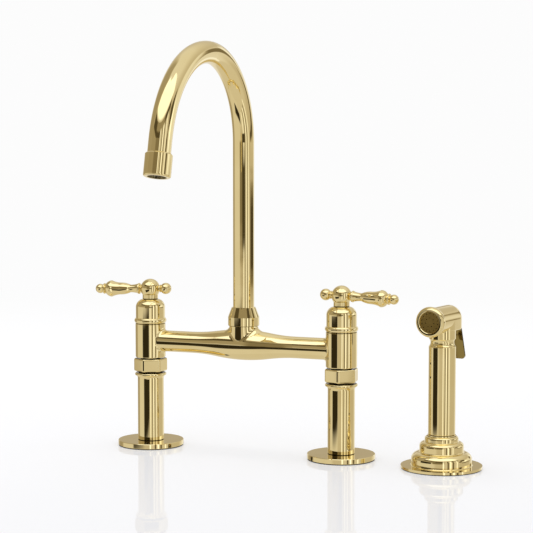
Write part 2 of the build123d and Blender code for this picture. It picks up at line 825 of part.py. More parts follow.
for name, x, way, nut_turn in sides:
    along = handle_direction(way)
    lever_plane = handle_plane(x, along)
    lever_axis = Axis((x, 0, hub_z), along)
    finial_plane = handle_plane(x, along * -1)
    finial_axis = Axis((x, 0, hub_z), along * -1)
    neck_join = hub_z - (hub_radius**2 - hub_neck_radius**2) ** 0.5
    grub_z = hub_bottom + grub_rise
    broach_face = broach_width / 2 + thread_fit

    with BuildPart() as hub:
        with BuildSketch(upright(x)):
            with BuildLine():
                Polyline(
                    (0, hub_z + hub_radius),
                    (0, hub_bottom),
                    (hub_neck_radius, hub_bottom),
                    (hub_neck_radius, neck_join),
                )
                ThreePointArc(
                    (hub_neck_radius, neck_join),
                    (hub_radius, hub_z),
                    (0, hub_z + hub_radius),
                )
            make_face()
        revolve(axis=upright_axis(x))
        # flat seat and hole on each side, for the lever and for the finial
        for seat in (lever_plane, finial_plane):
            along_seat = seat.x_dir
            with BuildSketch(Plane(origin=seat.origin + along_seat * hub_face, z_dir=along_seat)):
                Circle(hub_radius)
            extrude(amount=hub_radius, mode=Mode.SUBTRACT)
            with BuildSketch(Plane(origin=seat.origin + along_seat * spigot_start, z_dir=along_seat)):
                Circle(spigot_radius)
            extrude(amount=hub_radius, mode=Mode.SUBTRACT)
        with BuildSketch(Plane(origin=(x, 0, hub_bottom))):
            Rectangle(2 * broach_face, 2 * broach_face)
        extrude(amount=broach_height + thread_fit, mode=Mode.SUBTRACT)
        with BuildSketch(Plane(origin=(x, 0, grub_z), z_dir=(0, 1, 0))):
            Circle(grub_radius + thread_fit)
        extrude(amount=hub_radius, mode=Mode.SUBTRACT)
    write(hub, f"{name}_lever_hub")

    with BuildPart() as grub:
        grub_tip = Plane(origin=(x, broach_face, grub_z), z_dir=(0, 1, 0))
        with BuildSketch(grub_tip):
            Circle(grub_radius)
        extrude(amount=grub_length)
        with BuildSketch(grub_tip.offset(grub_length - grub_socket_depth)):
            RegularPolygon(grub_socket_width / 2, 6, major_radius=False)
        extrude(amount=grub_socket_depth, mode=Mode.SUBTRACT)
    write(grub, f"{name}_grub_screw")

    with BuildPart() as lever:
        with BuildSketch(lever_plane):
            with BuildLine():
                spigot = spigot_radius - thread_fit
                ring_foot = (ring_start, lever_neck_radius + ring_foot_rise)
                ring_back = (ring_end, waist_radius + ring_foot_rise)
                waist = (waist_at, waist_radius)
                middle = ((waist_at + pear_at) / 2, (waist_radius + pear_radius) / 2)
                widest = (pear_at, pear_radius)
                pear_tip = (pear_end, pear_end_radius)
                swell_run = pear_at - waist_at
                swell_gain = pear_radius - waist_radius
                swell_arc = (swell_run**2 + swell_gain**2) / (4 * swell_gain)
                ball_reach = (tip_ball_radius**2 - tip_neck_radius**2) ** 0.5
                tip_ring_end = tip_ring_start + tip_ring_width
                Polyline(
                    (tip_ball_at + tip_ball_radius, 0),
                    (spigot_start, 0),
                    (spigot_start, spigot),
                    (hub_face, spigot),
                    (hub_face, lever_neck_radius),
                    (ring_start, lever_neck_radius),
                    ring_foot,
                )
                ThreePointArc(ring_foot, ((ring_start + ring_end) / 2, ring_radius), ring_back)
                TangentArc(waist, ring_back, tangent=(-1, 0))
                RadiusArc(waist, middle, swell_arc)
                RadiusArc(middle, widest, -swell_arc)
                TangentArc(widest, pear_tip, tangent=(1, 0))
                Polyline(
                    pear_tip,
                    (pear_end, tip_groove_radius),
                    (tip_ring_start, tip_groove_radius),
                    (tip_ring_start, tip_ring_radius - tip_ring_crown),
                )
                ThreePointArc(
                    (tip_ring_start, tip_ring_radius - tip_ring_crown),
                    (tip_ring_start + tip_ring_width / 2, tip_ring_radius),
                    (tip_ring_end, tip_ring_radius - tip_ring_crown),
                )
                Polyline(
                    (tip_ring_end, tip_ring_radius - tip_ring_crown),
                    (tip_ring_end, tip_neck_radius),
                    (tip_ball_at - ball_reach, tip_neck_radius),
                )
                ThreePointArc(
                    (tip_ball_at - ball_reach, tip_neck_radius),
                    (tip_ball_at, tip_ball_radius),
                    (tip_ball_at + tip_ball_radius, 0),
                )
            make_face()
        revolve(axis=lever_axis)
    write(lever, f"{name}_lever_arm")

    with BuildPart() as finial:
        with BuildSketch(finial_plane):
            with BuildLine():
                ring_middle = (finial_ring_start + finial_ring_end) / 2
                ring_edge = finial_ring_radius - finial_ring_crown
                finial_reach = (finial_ball_radius**2 - finial_neck_radius**2) ** 0.5
                Polyline(
                    (finial_ball_at + finial_ball_radius, 0),
                    (spigot_start, 0),
                    (spigot_start, spigot),
                    (hub_face, spigot),
                    (hub_face, finial_neck_radius),
                    (finial_ring_start, finial_neck_radius),
                    (finial_ring_start, ring_edge),
                )
                ThreePointArc(
                    (finial_ring_start, ring_edge),
                    (ring_middle, finial_ring_radius),
                    (finial_ring_end, ring_edge),
                )
                Polyline(
                    (finial_ring_end, ring_edge),
                    (finial_ring_end, finial_neck_radius),
                    (finial_ball_at - finial_reach, finial_neck_radius),
                )
                ThreePointArc(
                    (finial_ball_at - finial_reach, finial_neck_radius),
                    (finial_ball_at, finial_ball_radius),
                    (finial_ball_at + finial_ball_radius, 0),
                )
            make_face()
        revolve(axis=finial_axis)
    write(finial, f"{name}_finial")

# ---------------------------------------------------------------- spout

flange_bottom = boss_thread_top + glide_ring_thickness
spout_flange_top = flange_bottom + spigot_flange_height
spigot_radius_outer = boss_bore_radius - running_fit
o_ring_groove_radius = spigot_radius_outer - o_ring_groove_depth
spigot_bottom = boss_thread_top - spigot_depth
spout_nut_bottom = boss_top + spout_nut_gap
spout_band_top = spout_nut_bottom + spout_nut_band
spout_nut_top = spout_band_top + spout_nut_cone

spout_nut = turned(
    0,
    0,
    (
        (boss_thread_radius + thread_fit, spout_nut_bottom),
        (spout_nut_radius - spout_nut_bevel, spout_nut_bottom),
        (spout_nut_radius, spout_nut_bottom + spout_nut_bevel),
        (spout_nut_radius, spout_band_top),
        (spout_nut_top_radius, spout_nut_top),
        (tube_radius + running_fit, spout_nut_top),
        (tube_radius + running_fit, spout_flange_top),
        (boss_thread_radius + thread_fit, spout_flange_top),
    ),
)
write(spout_nut, "spout_nut")

glide_ring = ring(
    0,
    0,
    boss_thread_top,
    glide_ring_thickness,
    spigot_flange_radius,
    spigot_radius_outer + loose_fit,
)
write(glide_ring, "spout_glide_ring")

with BuildPart() as spigot:
    for bottom, top, radius in (
        (spigot_bottom, flange_bottom, spigot_radius_outer),
        (flange_bottom, spout_flange_top, spigot_flange_radius),
        (spout_flange_top, spout_flange_top + spigot_sleeve_height, tube_bore_radius - thread_fit),
    ):
        with BuildSketch(Plane.XY.offset(bottom)):
            Circle(radius)
        extrude(amount=top - bottom)
    with BuildSketch(Plane.XY.offset(spigot_bottom)):
        Circle(spigot_bore_radius)
    extrude(
        amount=spout_flange_top + spigot_sleeve_height - spigot_bottom,
        mode=Mode.SUBTRACT,
    )
    for drop in o_ring_drops:
        with BuildSketch(Plane.XY.offset(boss_thread_top - drop - o_ring_groove_width / 2)):
            Circle(boss_bore_radius)
            Circle(o_ring_groove_radius, mode=Mode.SUBTRACT)
        extrude(amount=o_ring_groove_width, mode=Mode.SUBTRACT)
write(spigot, "spout_spigot")

o_ring_centre = boss_bore_radius - o_ring_fit - o_ring_radius
with BuildPart() as o_rings:
    for drop in o_ring_drops:
        with BuildSketch(Plane.XZ):
            with Locations((o_ring_centre, boss_thread_top - drop)):
                Circle(o_ring_radius)
        revolve(axis=Axis.Z)
write(o_rings, "spout_o_rings")

# the route of the tube lies in the plane that runs forward from the boss
route_plane = Plane(origin=(0, 0, 0), x_dir=(0, -1, 0), z_dir=(-1, 0, 0))
with BuildLine(route_plane) as route:
    riser = Line((0, spout_flange_top), (0, riser_top))
    crown = JernArc(riser @ 1, riser % 1, crown_radius, -spout_turn_start)
    fall = JernArc(crown @ 1, crown % 1, fall_radius, -fall_turn)
    tip = Line(fall @ 1, fall @ 1 + (fall % 1) * (tip_straight + housing_socket))

with BuildPart() as tube:
    with BuildSketch(Plane.XY.offset(spout_flange_top)):
        Circle(tube_radius)
        Circle(tube_bore_radius, mode=Mode.SUBTRACT)
    sweep(path=route.line)
write(tube, "spout_tube")

# ---------------------------------------------------------------- aerator

flow = tip % 1
mouth = tip @ 1
housing_top = mouth - flow * housing_socket
aerator_profile = Plane(origin=housing_top, x_dir=(1, 0, 0), z_dir=Vector(1, 0, 0).cross(flow))
aerator_axis = Axis(housing_top, flow)
housing_bore = aerator_radius + thread_fit
insert_top = housing_socket + aerator_washer_thickness
lip_top = housing_length - housing_lip

with BuildPart() as housing:
    with BuildSketch(aerator_profile):
        with BuildLine():
            Polyline(
                (housing_radius, housing_length - housing_lip_round),
                (housing_radius, housing_top_bevel),
                (housing_radius - housing_top_bevel, 0),
                (tube_radius + thread_fit, 0),
                (tube_radius + thread_fit, housing_socket),
                (housing_bore, housing_socket),
                (housing_bore, lip_top),
                (housing_lip_radius, lip_top),
                (housing_lip_radius, housing_length),
                (housing_radius - housing_lip_round, housing_length),
            )
            RadiusArc(
                (housing_radius - housing_lip_round, housing_length),
                (housing_radius, housing_length - housing_lip_round),
                housing_lip_round,
            )
        make_face()
    revolve(axis=aerator_axis)
write(housing, "aerator_housing")

flow_plane = Plane(origin=housing_top, x_dir=(1, 0, 0), z_dir=flow)
with BuildPart() as aerator_washer:
    with BuildSketch(flow_plane.offset(housing_socket)):
        Circle(aerator_radius)
        Circle(spigot_bore_radius, mode=Mode.SUBTRACT)
    extrude(amount=aerator_washer_thickness)
write(aerator_washer, "aerator_washer")

with BuildPart() as insert:
    with BuildSketch(flow_plane.offset(insert_top)):
        Circle(aerator_radius)
    extrude(amount=lip_top - insert_top)
    with BuildSketch(flow_plane.offset(insert_top)):
        Circle(aerator_radius - aerator_wall)
    extrude(amount=lip_top - insert_top - aerator_plate, mode=Mode.SUBTRACT)
    with BuildSketch(flow_plane.offset(lip_top)):
        Circle(aerator_hole_radius)
        for count, circle_radius in aerator_rings:
            with PolarLocations(circle_radius, count):
                Circle(aerator_hole_radius)
    extrude(amount=-aerator_plate, mode=Mode.SUBTRACT)
write(insert, "aerator_insert")

# ---------------------------------------------------------------- diverter

diverter_radius = diverter_bore_radius - thread_fit
diverter_inside = diverter_radius - diverter_wall
piston_bottom = diverter_bottom + piston_rise
piston_top = piston_bottom + piston_height

with BuildPart() as diverter:
    with BuildSketch(Plane.XY.offset(diverter_bottom)):
        Circle(diverter_radius)
    extrude(amount=diverter_height)
    with BuildSketch(Plane.XY.offset(diverter_bottom + diverter_floor)):
        Circle(diverter_inside)
    extrude(amount=piston_top - diverter_bottom - diverter_floor, mode=Mode.SUBTRACT)
    with BuildSketch(Plane.XY.offset(piston_top)):
        Circle(diverter_inside - diverter_lip)
    extrude(amount=diverter_top - piston_top, mode=Mode.SUBTRACT)
    # both arms feed it through one window each
    with BuildSketch(Plane(origin=(0, 0, arm_z), x_dir=(0, 1, 0), z_dir=(1, 0, 0))):
        Circle(diverter_window_radius)
    extrude(amount=diverter_bore_radius, both=True, mode=Mode.SUBTRACT)
write(diverter, "diverter_body")

with BuildPart() as piston:
    with BuildSketch(Plane.XY.offset(piston_bottom)):
        Circle(diverter_inside - running_fit)
        with PolarLocations(piston_hole_circle, piston_holes):
            Circle(piston_hole_radius, mode=Mode.SUBTRACT)
    extrude(amount=piston_height)
write(piston, "diverter_piston")


def coil_spring(foot, along, length, radius, wire, turns):
    """Open coil spring that fills the given length along its axis."""
    pitch = (length - 2 * wire) / turns
    with BuildPart() as coil:
        with BuildLine() as centre_line:
            Helix(pitch, pitch * turns, radius, center=foot + along * wire, direction=along)
        start = centre_line.line @ 0
        with BuildSketch(Plane(origin=start, z_dir=centre_line.line % 0)):
            Circle(wire)
        sweep(path=centre_line.line, is_frenet=True)
    print(f"spring: {turns} turns, least gap between turns {pitch - 2 * wire:.2f} mm")
    return coil


diverter_spring = coil_spring(
    Vector(0, 0, diverter_bottom + diverter_floor),
    Vector(0, 0, 1),
    piston_rise - diverter_floor,
    spring_radius,
    spring_wire_radius,
    spring_turns,
)
write(diverter_spring, "diverter_spring")

# ---------------------------------------------------------------- spray holder

holder_flange_top = gasket_thickness + holder_flange_thickness
holder_nut_top = -deck_thickness
holder_nut_bottom = holder_nut_top - lock_nut_height
holder_shank_end = holder_nut_bottom - holder_shank_below

holder_gasket = ring(
    spray_x,
    spray_y,
    0,
    gasket_thickness,
    holder_flange_radius - holder_gasket_inset,
    holder_shank_radius + loose_fit,
)
write(holder_gasket, "spray_base_gasket")

with BuildPart() as holder:
    with BuildSketch(upright(spray_x, spray_y)):
        with BuildLine():
            Polyline(
                (holder_bore_radius, cradle_top),
                (holder_bore_radius, holder_shank_end),
                (holder_shank_radius, holder_shank_end),
                (holder_shank_radius, gasket_thickness),
                (holder_flange_radius, gasket_thickness),
                (holder_flange_radius, holder_flange_top),
            )
            seat = (holder_flange_radius, holder_flange_top)
            for radius, top, shoulder in zip(step_radii, step_tops, shoulder_radii):
                foot = (radius + step_fillet, seat[1])
                wall = (radius, seat[1] + step_fillet)
                bend = (radius, top - shoulder)
                rim = (radius - shoulder, top)
                Line(seat, foot)
                RadiusArc(foot, wall, step_fillet)
                Line(wall, bend)
                if shoulder != shoulder_radii[-1]:
                    RadiusArc(bend, rim, -shoulder)
                    seat = rim
            # the last shoulder ends in a groove round the cradle
            groove = cradle_radius + cradle_groove
            groove_lip = top - shoulder + (shoulder**2 - (groove - rim[0]) ** 2) ** 0.5
            RadiusArc(bend, (groove, groove_lip), -shoulder)
            Polyline(
                (groove, groove_lip),
                (groove, groove_lip - cradle_groove_depth),
                (cradle_radius, groove_lip - cradle_groove_depth),
                (cradle_radius, cradle_top),
                (holder_bore_radius, cradle_top),
            )
        make_face()
    revolve(axis=upright_axis(spray_x, spray_y))
    # hollow underneath, like the spun bell that it is
    hollow_bottom = gasket_thickness
    for radius, top, shoulder in zip(step_radii[:2], step_tops, shoulder_radii):
        with BuildSketch(Plane(origin=(spray_x, spray_y, hollow_bottom))):
            Circle(radius - holder_wall)
            Circle(holder_shank_boss, mode=Mode.SUBTRACT)
        extrude(amount=top - shoulder + holder_wall / 2 - hollow_bottom, mode=Mode.SUBTRACT)
    # seat for the lip of the liner
    with BuildSketch(Plane(origin=(spray_x, spray_y, cradle_top))):
        Circle(liner_lip_radius + thread_fit)
    extrude(amount=-liner_lip_thickness, mode=Mode.SUBTRACT)
write(holder, "spray_base")

with BuildPart() as liner:
    with BuildSketch(Plane(origin=(spray_x, spray_y, liner_bottom))):
        Circle(holder_bore_radius - thread_fit)
    extrude(amount=cradle_top - liner_bottom)
    with BuildSketch(Plane(origin=(spray_x, spray_y, cradle_top))):
        Circle(liner_lip_radius)
    extrude(amount=-liner_lip_thickness)
    with BuildSketch(Plane(origin=(spray_x, spray_y, liner_bottom))):
        Circle(liner_radius)
    extrude(amount=cradle_top - liner_bottom, mode=Mode.SUBTRACT)
write(liner, "spray_base_liner")

holder_nut = hex_nut(
    spray_x,
    spray_y,
    holder_nut_bottom,
    lock_nut_height,
    holder_nut_width,
    holder_shank_radius + thread_fit,
    0,
    lock_nut_crown,
)
write(holder_nut, "spray_base_nut")

# ---------------------------------------------------------------- spray wand

wand_bottom = cradle_top + grip_gap
grip_top = wand_bottom + grip_length
grip_bore = grip_radius - grip_wall
plug_radius = grip_bore - thread_fit
waist_bottom = grip_top + waist_gap
waist_top = waist_bottom + waist_height
skirt_bottom = waist_top + head_neck_height
barrel_z = skirt_bottom + skirt_height
face_thread_end = barrel_front + face_thread_length

face = Vector(cos(radians(face_turn)), sin(radians(face_turn)), 0)
head_side = Plane(origin=(spray_x, spray_y, 0), x_dir=face, z_dir=face.cross(Vector(0, 0, 1)))
barrel_line = Axis((spray_x, spray_y, barrel_z), face)


def head_level(height):
    """Level plane on the wand's axis, whose local x points where the face points."""
    return Plane(origin=(spray_x, spray_y, height), x_dir=face, z_dir=(0, 0, 1))


def across(forward, height):
    """Plane square to the face direction; its normal is the face direction."""
    origin = Vector(spray_x, spray_y, height) + face * forward
    return Plane(origin=origin, x_dir=(0, 0, 1), z_dir=face)


with BuildPart() as grip:
    with BuildSketch(Plane(origin=(spray_x, spray_y, wand_bottom))):
        Circle(grip_radius)
    extrude(amount=grip_length)
    fillet(grip.edges().filter_by(GeomType.CIRCLE).sort_by(Axis.Z)[0], grip_foot_round)
    fillet(grip.edges().filter_by(GeomType.CIRCLE).sort_by(Axis.Z)[-1], grip_rim_round)
    with BuildSketch(Plane(origin=(spray_x, spray_y, wand_bottom))):
        Circle(grip_bore)
    extrude(amount=grip_length, mode=Mode.SUBTRACT)
write(grip, "spray_grip")

hose_spigot = liner_radius - cradle_play
hose_spigot_end = wand_bottom - inlet_spigot_length
nipple_end = hose_spigot_end - nipple_length
hose_inlet = turned(
    spray_x,
    spray_y,
    (
        (nipple_bore_radius, nipple_end),
        (nipple_radius, nipple_end),
        (nipple_radius, hose_spigot_end),
        (hose_spigot - inlet_spigot_taper, hose_spigot_end),
        (hose_spigot, wand_bottom),
        (plug_radius, wand_bottom),
        (plug_radius, wand_bottom + inlet_flange_thickness),
        (nipple_bore_radius, wand_bottom + inlet_flange_thickness),
    ),
)
write(hose_inlet, "spray_hose_inlet")

with BuildPart() as head:
    # skirt under the barrel, rounded along its lower edge
    with BuildSketch(head_level(skirt_bottom)):
        with Locations((-dome_back / 2, 0)):
            SlotCenterToCenter(dome_back, 2 * barrel_radius)
    extrude(amount=skirt_height)
    fillet(head.faces().sort_by(Axis.Z)[0].edges(), skirt_round)
    # barrel with its round back, and the thread for the face ring
    with BuildSketch(head_side):
        with BuildLine():
            dome_start = (-dome_back - barrel_radius, barrel_z)
            dome_end = (-dome_back, barrel_z + barrel_radius)
            RadiusArc(dome_start, dome_end, barrel_radius)
            Polyline(
                dome_end,
                (barrel_front, barrel_z + barrel_radius),
                (barrel_front, barrel_z + face_thread_radius),
                (face_thread_end, barrel_z + face_thread_radius),
                (face_thread_end, barrel_z),
                dome_start,
            )
        make_face()
    revolve(axis=barrel_line)
    # plug in the grip, waist and neck
    with BuildSketch(upright(spray_x, spray_y)):
        with BuildLine():
            waist_foot = (waist_foot_radius, waist_bottom)
            neck_foot = (head_neck_radius, waist_top)
            Polyline(
                neck_foot,
                (head_neck_radius, barrel_z),
                (0, barrel_z),
                (0, grip_top - head_plug_length),
                (plug_radius, grip_top - head_plug_length),
                (plug_radius, waist_bottom),
                waist_foot,
            )
            ThreePointArc(
                waist_foot,
                (waist_radius_least, (waist_bottom + waist_top) / 2),
                neck_foot,
            )
        make_face()
    revolve(axis=upright_axis(spray_x, spray_y))
    # the back of the skirt is cut away over the thumb plate
    with BuildSketch(head_side):
        Polygon(
            (-skirt_cut_start, skirt_bottom),
            (-skirt_cut_start, skirt_bottom - skirt_round),
            (-dome_back - 2 * barrel_radius, skirt_bottom - skirt_round),
            (-dome_back - barrel_radius, skirt_bottom + skirt_cut_rise),
            align=None,
        )
    extrude(amount=2 * barrel_radius, both=True, mode=Mode.SUBTRACT)
    # water chamber behind the face, and the rise from the grip
    with BuildSketch(across(-barrel_bore_back, barrel_z)):
        Circle(barrel_bore_radius)
    extrude(amount=barrel_bore_back + face_thread_end, mode=Mode.SUBTRACT)
    with BuildSketch(head_level(grip_top - head_plug_length)):
        Circle(neck_bore_radius)
    extrude(amount=barrel_z - grip_top + head_plug_length, mode=Mode.SUBTRACT)
    # valve bore and the hole for the plunger
    with BuildSketch(across(-valve_bore_back, barrel_z - plunger_drop)):
        Circle(valve_bore_radius)
    extrude(amount=valve_bore_back + valve_bore_front, mode=Mode.SUBTRACT)
    with BuildSketch(across(-valve_bore_back, barrel_z - plunger_drop)):
        Circle(plunger_radius + running_fit)
    extrude(amount=-2 * head_neck_radius, mode=Mode.SUBTRACT)
    # pocket for the trigger's web, and the hole for its pin
    with BuildSketch(head_side):
        Polygon(
            (-pocket_front, skirt_bottom - skirt_round),
            (-pocket_front, barrel_z + pocket_rise),
            (-dome_back - 2 * barrel_radius, barrel_z + pocket_rise),
            (-dome_back - 2 * barrel_radius, skirt_bottom - skirt_round),
            align=None,
        )
    extrude(amount=trigger_web_width / 2 + loose_fit, both=True, mode=Mode.SUBTRACT)
    with BuildSketch(head_side):
        with Locations((-pivot_back, barrel_z - pivot_drop)):
            Circle(pivot_radius + thread_fit)
    extrude(amount=pivot_pin_length / 2, both=True, mode=Mode.SUBTRACT)
write(head, "spray_head")

ring_bore = face_thread_radius + thread_fit
ring_back = barrel_front + loose_fit
plate_back = face_thread_end + loose_fit
plate_front = plate_back + face_plate_thickness
with BuildPart() as face_ring:
    with BuildSketch(head_side):
        with BuildLine():
            back_edge = (ring_back, barrel_z + barrel_radius + rim_step)
            widest = (rim_widest, barrel_z + rim_radius)
            front_edge = (rim_front, barrel_z + rim_opening_radius + rim_lip)
            Polyline(
                front_edge,
                (rim_front, barrel_z + rim_opening_radius + rim_lip_bevel),
                (rim_front - rim_lip_bevel, barrel_z + rim_opening_radius),
                (plate_front, barrel_z + rim_opening_radius),
                (plate_front, barrel_z + ring_bore),
                (ring_back, barrel_z + ring_bore),
                back_edge,
            )
            TangentArc(widest, back_edge, tangent=(-1, 0))
            TangentArc(widest, front_edge, tangent=(1, 0))
        make_face()
    revolve(axis=barrel_line)
write(face_ring, "spray_face_ring")

with BuildPart() as face_plate:
    with BuildSketch(across(plate_back, barrel_z)):
        Circle(face_thread_radius)
        for count, circle_radius in face_rings:
            with PolarLocations(circle_radius, count):
                Circle(face_hole_radius, mode=Mode.SUBTRACT)
    extrude(amount=face_plate_thickness)
write(face_plate, "spray_face_plate")

# ---------------------------------------------------------------- spray trigger

pivot_z = barrel_z - pivot_drop
with BuildPart() as pin:
    with BuildSketch(head_side):
        with Locations((-pivot_back, pivot_z)):
            Circle(pivot_radius)
    extrude(amount=pivot_pin_length / 2, both=True)
write(pin, "trigger_pin")

plate_top_z = barrel_z - trigger_top_drop
plate_length = (trigger_fall**2 + trigger_lean**2) ** 0.5
plate_down = (face * -trigger_lean + Vector(0, 0, -trigger_fall)).normalized()
plate_side = face.cross(Vector(0, 0, 1))
plate_origin = Vector(spray_x, spray_y, plate_top_z) + face * -trigger_top_back
plate_plane = Plane(origin=plate_origin, x_dir=plate_down, z_dir=plate_down.cross(plate_side))

with BuildPart() as trigger:
    # thumb plate, wider towards its rounded end
    with BuildSketch(plate_plane):
        Polygon(
            (0, -trigger_top_width / 2),
            (plate_length, -trigger_tip_width / 2),
            (plate_length, trigger_tip_width / 2),
            (0, trigger_top_width / 2),
            align=None,
        )
        fillet(vertices().sort_by(Axis.X)[-2:], trigger_corner)
    extrude(amount=trigger_thickness)
    # web from the plate up to the eye on the pin
    with BuildSketch(head_side):
        with Locations((-pivot_back, pivot_z)):
            Circle(trigger_eye_radius)
        Polygon(
            (-pivot_back - trigger_eye_radius, pivot_z),
            (-pivot_back + trigger_eye_radius, pivot_z),
            (-trigger_top_back, plate_top_z),
            (-trigger_top_back - trigger_thickness, plate_top_z),
            align=None,
        )
    extrude(amount=trigger_web_width / 2, both=True)
    with BuildSketch(head_side):
        with Locations((-pivot_back, pivot_z)):
            Circle(pivot_radius + running_fit)
    extrude(amount=trigger_web_width, both=True, mode=Mode.SUBTRACT)
write(trigger, "spray_trigger")

plunger_z = barrel_z - plunger_drop
plate_at_plunger = trigger_top_back + trigger_lean / trigger_fall * (plate_top_z - plunger_z - plunger_radius)
plunger_end = plate_at_plunger - plunger_gap
with BuildPart() as plunger:
    with BuildSketch(across(-plunger_end, plunger_z)):
        Circle(plunger_radius)
    extrude(amount=plunger_end)
    with BuildSketch(across(-plunger_head_thickness / 2, plunger_z)):
        Circle(plunger_head_radius)
    extrude(amount=plunger_head_thickness)
write(plunger, "spray_plunger")

valve_spring = coil_spring(
    Vector(spray_x, spray_y, plunger_z) + face * (plunger_head_thickness / 2),
    face,
    valve_bore_front - plunger_head_thickness / 2,
    valve_spring_radius,
    valve_spring_wire_radius,
    valve_spring_turns,
)
write(valve_spring, "spray_valve_spring")
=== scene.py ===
# %% [markdown]
# # A polished brass bridge faucet
# The real object is a kitchen faucet of turned and cast brass pieces, polished to a
# mirror. A measured model of every piece already exists, so this lesson keeps its sizes
# as a fixed frame and looks after what polished metal needs in Blender: smooth
# outlines, soft edges that catch the light, a finish that is not too perfect, and a
# studio for it to reflect. The frame is loaded first. No new piece may change the size
# of the object.

# %% Load the measured frame
import bpy
import bmesh
import json
import math
from mathutils import Matrix, Vector


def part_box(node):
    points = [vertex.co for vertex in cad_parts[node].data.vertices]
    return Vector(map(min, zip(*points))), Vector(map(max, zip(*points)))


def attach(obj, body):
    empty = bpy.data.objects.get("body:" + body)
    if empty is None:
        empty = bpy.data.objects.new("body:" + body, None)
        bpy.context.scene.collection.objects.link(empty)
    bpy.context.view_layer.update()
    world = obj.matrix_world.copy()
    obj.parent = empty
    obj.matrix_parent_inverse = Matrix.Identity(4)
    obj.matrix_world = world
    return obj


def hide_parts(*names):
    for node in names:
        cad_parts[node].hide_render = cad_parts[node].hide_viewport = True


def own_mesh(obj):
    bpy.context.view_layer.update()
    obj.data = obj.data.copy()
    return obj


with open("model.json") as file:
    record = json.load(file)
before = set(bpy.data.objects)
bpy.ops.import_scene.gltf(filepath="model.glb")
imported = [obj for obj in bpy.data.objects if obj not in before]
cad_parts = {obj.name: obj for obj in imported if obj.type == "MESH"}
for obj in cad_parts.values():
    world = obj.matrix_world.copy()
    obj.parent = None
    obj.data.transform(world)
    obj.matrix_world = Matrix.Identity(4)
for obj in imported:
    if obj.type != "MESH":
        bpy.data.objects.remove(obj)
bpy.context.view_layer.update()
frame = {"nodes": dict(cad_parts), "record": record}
MM = 0.001
print("nodes in the frame:", len(frame["nodes"]))

# %% [markdown]
# ## Where the pieces stand
# Two deck posts stand 8 inches apart, the spout rises midway between them, and the
# spray holder stands to the right. The places and heights come out of the frame's own
# boxes, so every piece that is made below lands on its seat.

# %% Read the places from the frame
def top_of(node):
    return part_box(node)[1].z


def foot_of(node):
    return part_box(node)[0].z


def post_middle(side):
    """Where the axis of a post meets the deck."""
    low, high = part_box(f"{side}_post")
    return Vector(((low.x + high.x) / 2, 0, 0))


SIDES = ("hot", "cold")
post_place = {side: post_middle(side) for side in SIDES}
print("posts at x", [round(place.x / MM, 1) for place in post_place.values()])

# %% [markdown]
# ## The camera
# The photograph was taken from the front right, a little above the handles, with a
# long lens. A camera is set by its place, its heading and its tilt; the matrix of its
# right, up and backward directions says all that at once. The lens follows from how
# many pixels of a 533 pixel frame one radian covers. Colours are shown with the plain
# Standard view, so a tone that is set below comes out as that tone.

# %% Place the camera
PHOTO_WIDTH = 533
PIXELS_PER_RADIAN = 1632.0
SENSOR_WIDTH = 36.0
CAMERA_PLACE = Vector((0.6212, -1.4638, 0.3042))
CAMERA_HEADING = math.radians(22.19)
CAMERA_TILT = math.radians(4.37)


def add_object(name, data):
    """New object in the scene, at the origin."""
    made = bpy.data.objects.new(name, data)
    bpy.context.scene.collection.objects.link(made)
    return made


lens = bpy.data.cameras.new("camera")
lens.sensor_width = SENSOR_WIDTH
lens.lens = SENSOR_WIDTH * PIXELS_PER_RADIAN / PHOTO_WIDTH
camera = add_object("camera", lens)
bpy.context.scene.camera = camera
bpy.context.scene.view_settings.view_transform = "Standard"

forward = Vector((
    -math.sin(CAMERA_HEADING) * math.cos(CAMERA_TILT),
    math.cos(CAMERA_HEADING) * math.cos(CAMERA_TILT),
    -math.sin(CAMERA_TILT),
))
rightward = Vector((math.cos(CAMERA_HEADING), math.sin(CAMERA_HEADING), 0))
upward = rightward.cross(forward)
turn = Matrix((rightward, upward, -forward)).transposed().to_4x4()
camera.matrix_world = Matrix.Translation(CAMERA_PLACE) @ turn
print("lens", round(lens.lens, 1), "mm, looking along", [round(v, 3) for v in forward])

# %% [markdown]
# ## Working with node trees
# The studio and every finish are node trees. Five small helpers keep them readable:
# one links two sockets, one adds a Math node, one makes a soft step between two
# values, one moves a value some share of the way to a number, and one makes a new
# material with its tree.

# %% Helpers for node trees
def link(tree, out_socket, in_socket):
    tree.links.new(out_socket, in_socket)


def math_node(tree, operation, *values, clamp=False):
    """One Math node; each value is a number or a socket."""
    node = tree.nodes.new("ShaderNodeMath")
    node.operation = operation
    node.use_clamp = clamp
    for value, socket in zip(values, node.inputs):
        if isinstance(value, (int, float)):
            socket.default_value = value
        else:
            link(tree, value, socket)
    return node.outputs[0]


def smooth_range(tree, value, low, high, start=0.0, end=1.0):
    """Smooth step of a value from low to high, giving start to end."""
    node = tree.nodes.new("ShaderNodeMapRange")
    node.interpolation_type = "SMOOTHSTEP"
    link(tree, value, node.inputs["Value"])
    node.inputs["From Min"].default_value = low
    node.inputs["From Max"].default_value = high
    node.inputs["To Min"].default_value = start
    node.inputs["To Max"].default_value = end
    return node.outputs["Result"]


def blend_to(tree, value, target, share):
    """Value moved towards a number by a share from 0 to 1."""
    step = math_node(tree, "SUBTRACT", target, value)
    return math_node(tree, "MULTIPLY_ADD", step, share, value)


def new_material(name):
    """Material with its node tree."""
    material = bpy.data.materials.new(name)
    material.use_nodes = True
    return material, material.node_tree


print("five helpers for node trees are ready")

# %% [markdown]
# ## The studio
# Polished brass has hardly any colour of its own: it shows the room. Product
# photographs of it are made in a white tent with a few dark cards, because without
# something dark to reflect the metal looks flat. The tent is drawn in the world by
# direction, so a list of panels is all it takes to move a card: each covers a span of
# headings and heights above the horizon, and has its own tone. Later panels cover
# earlier ones.

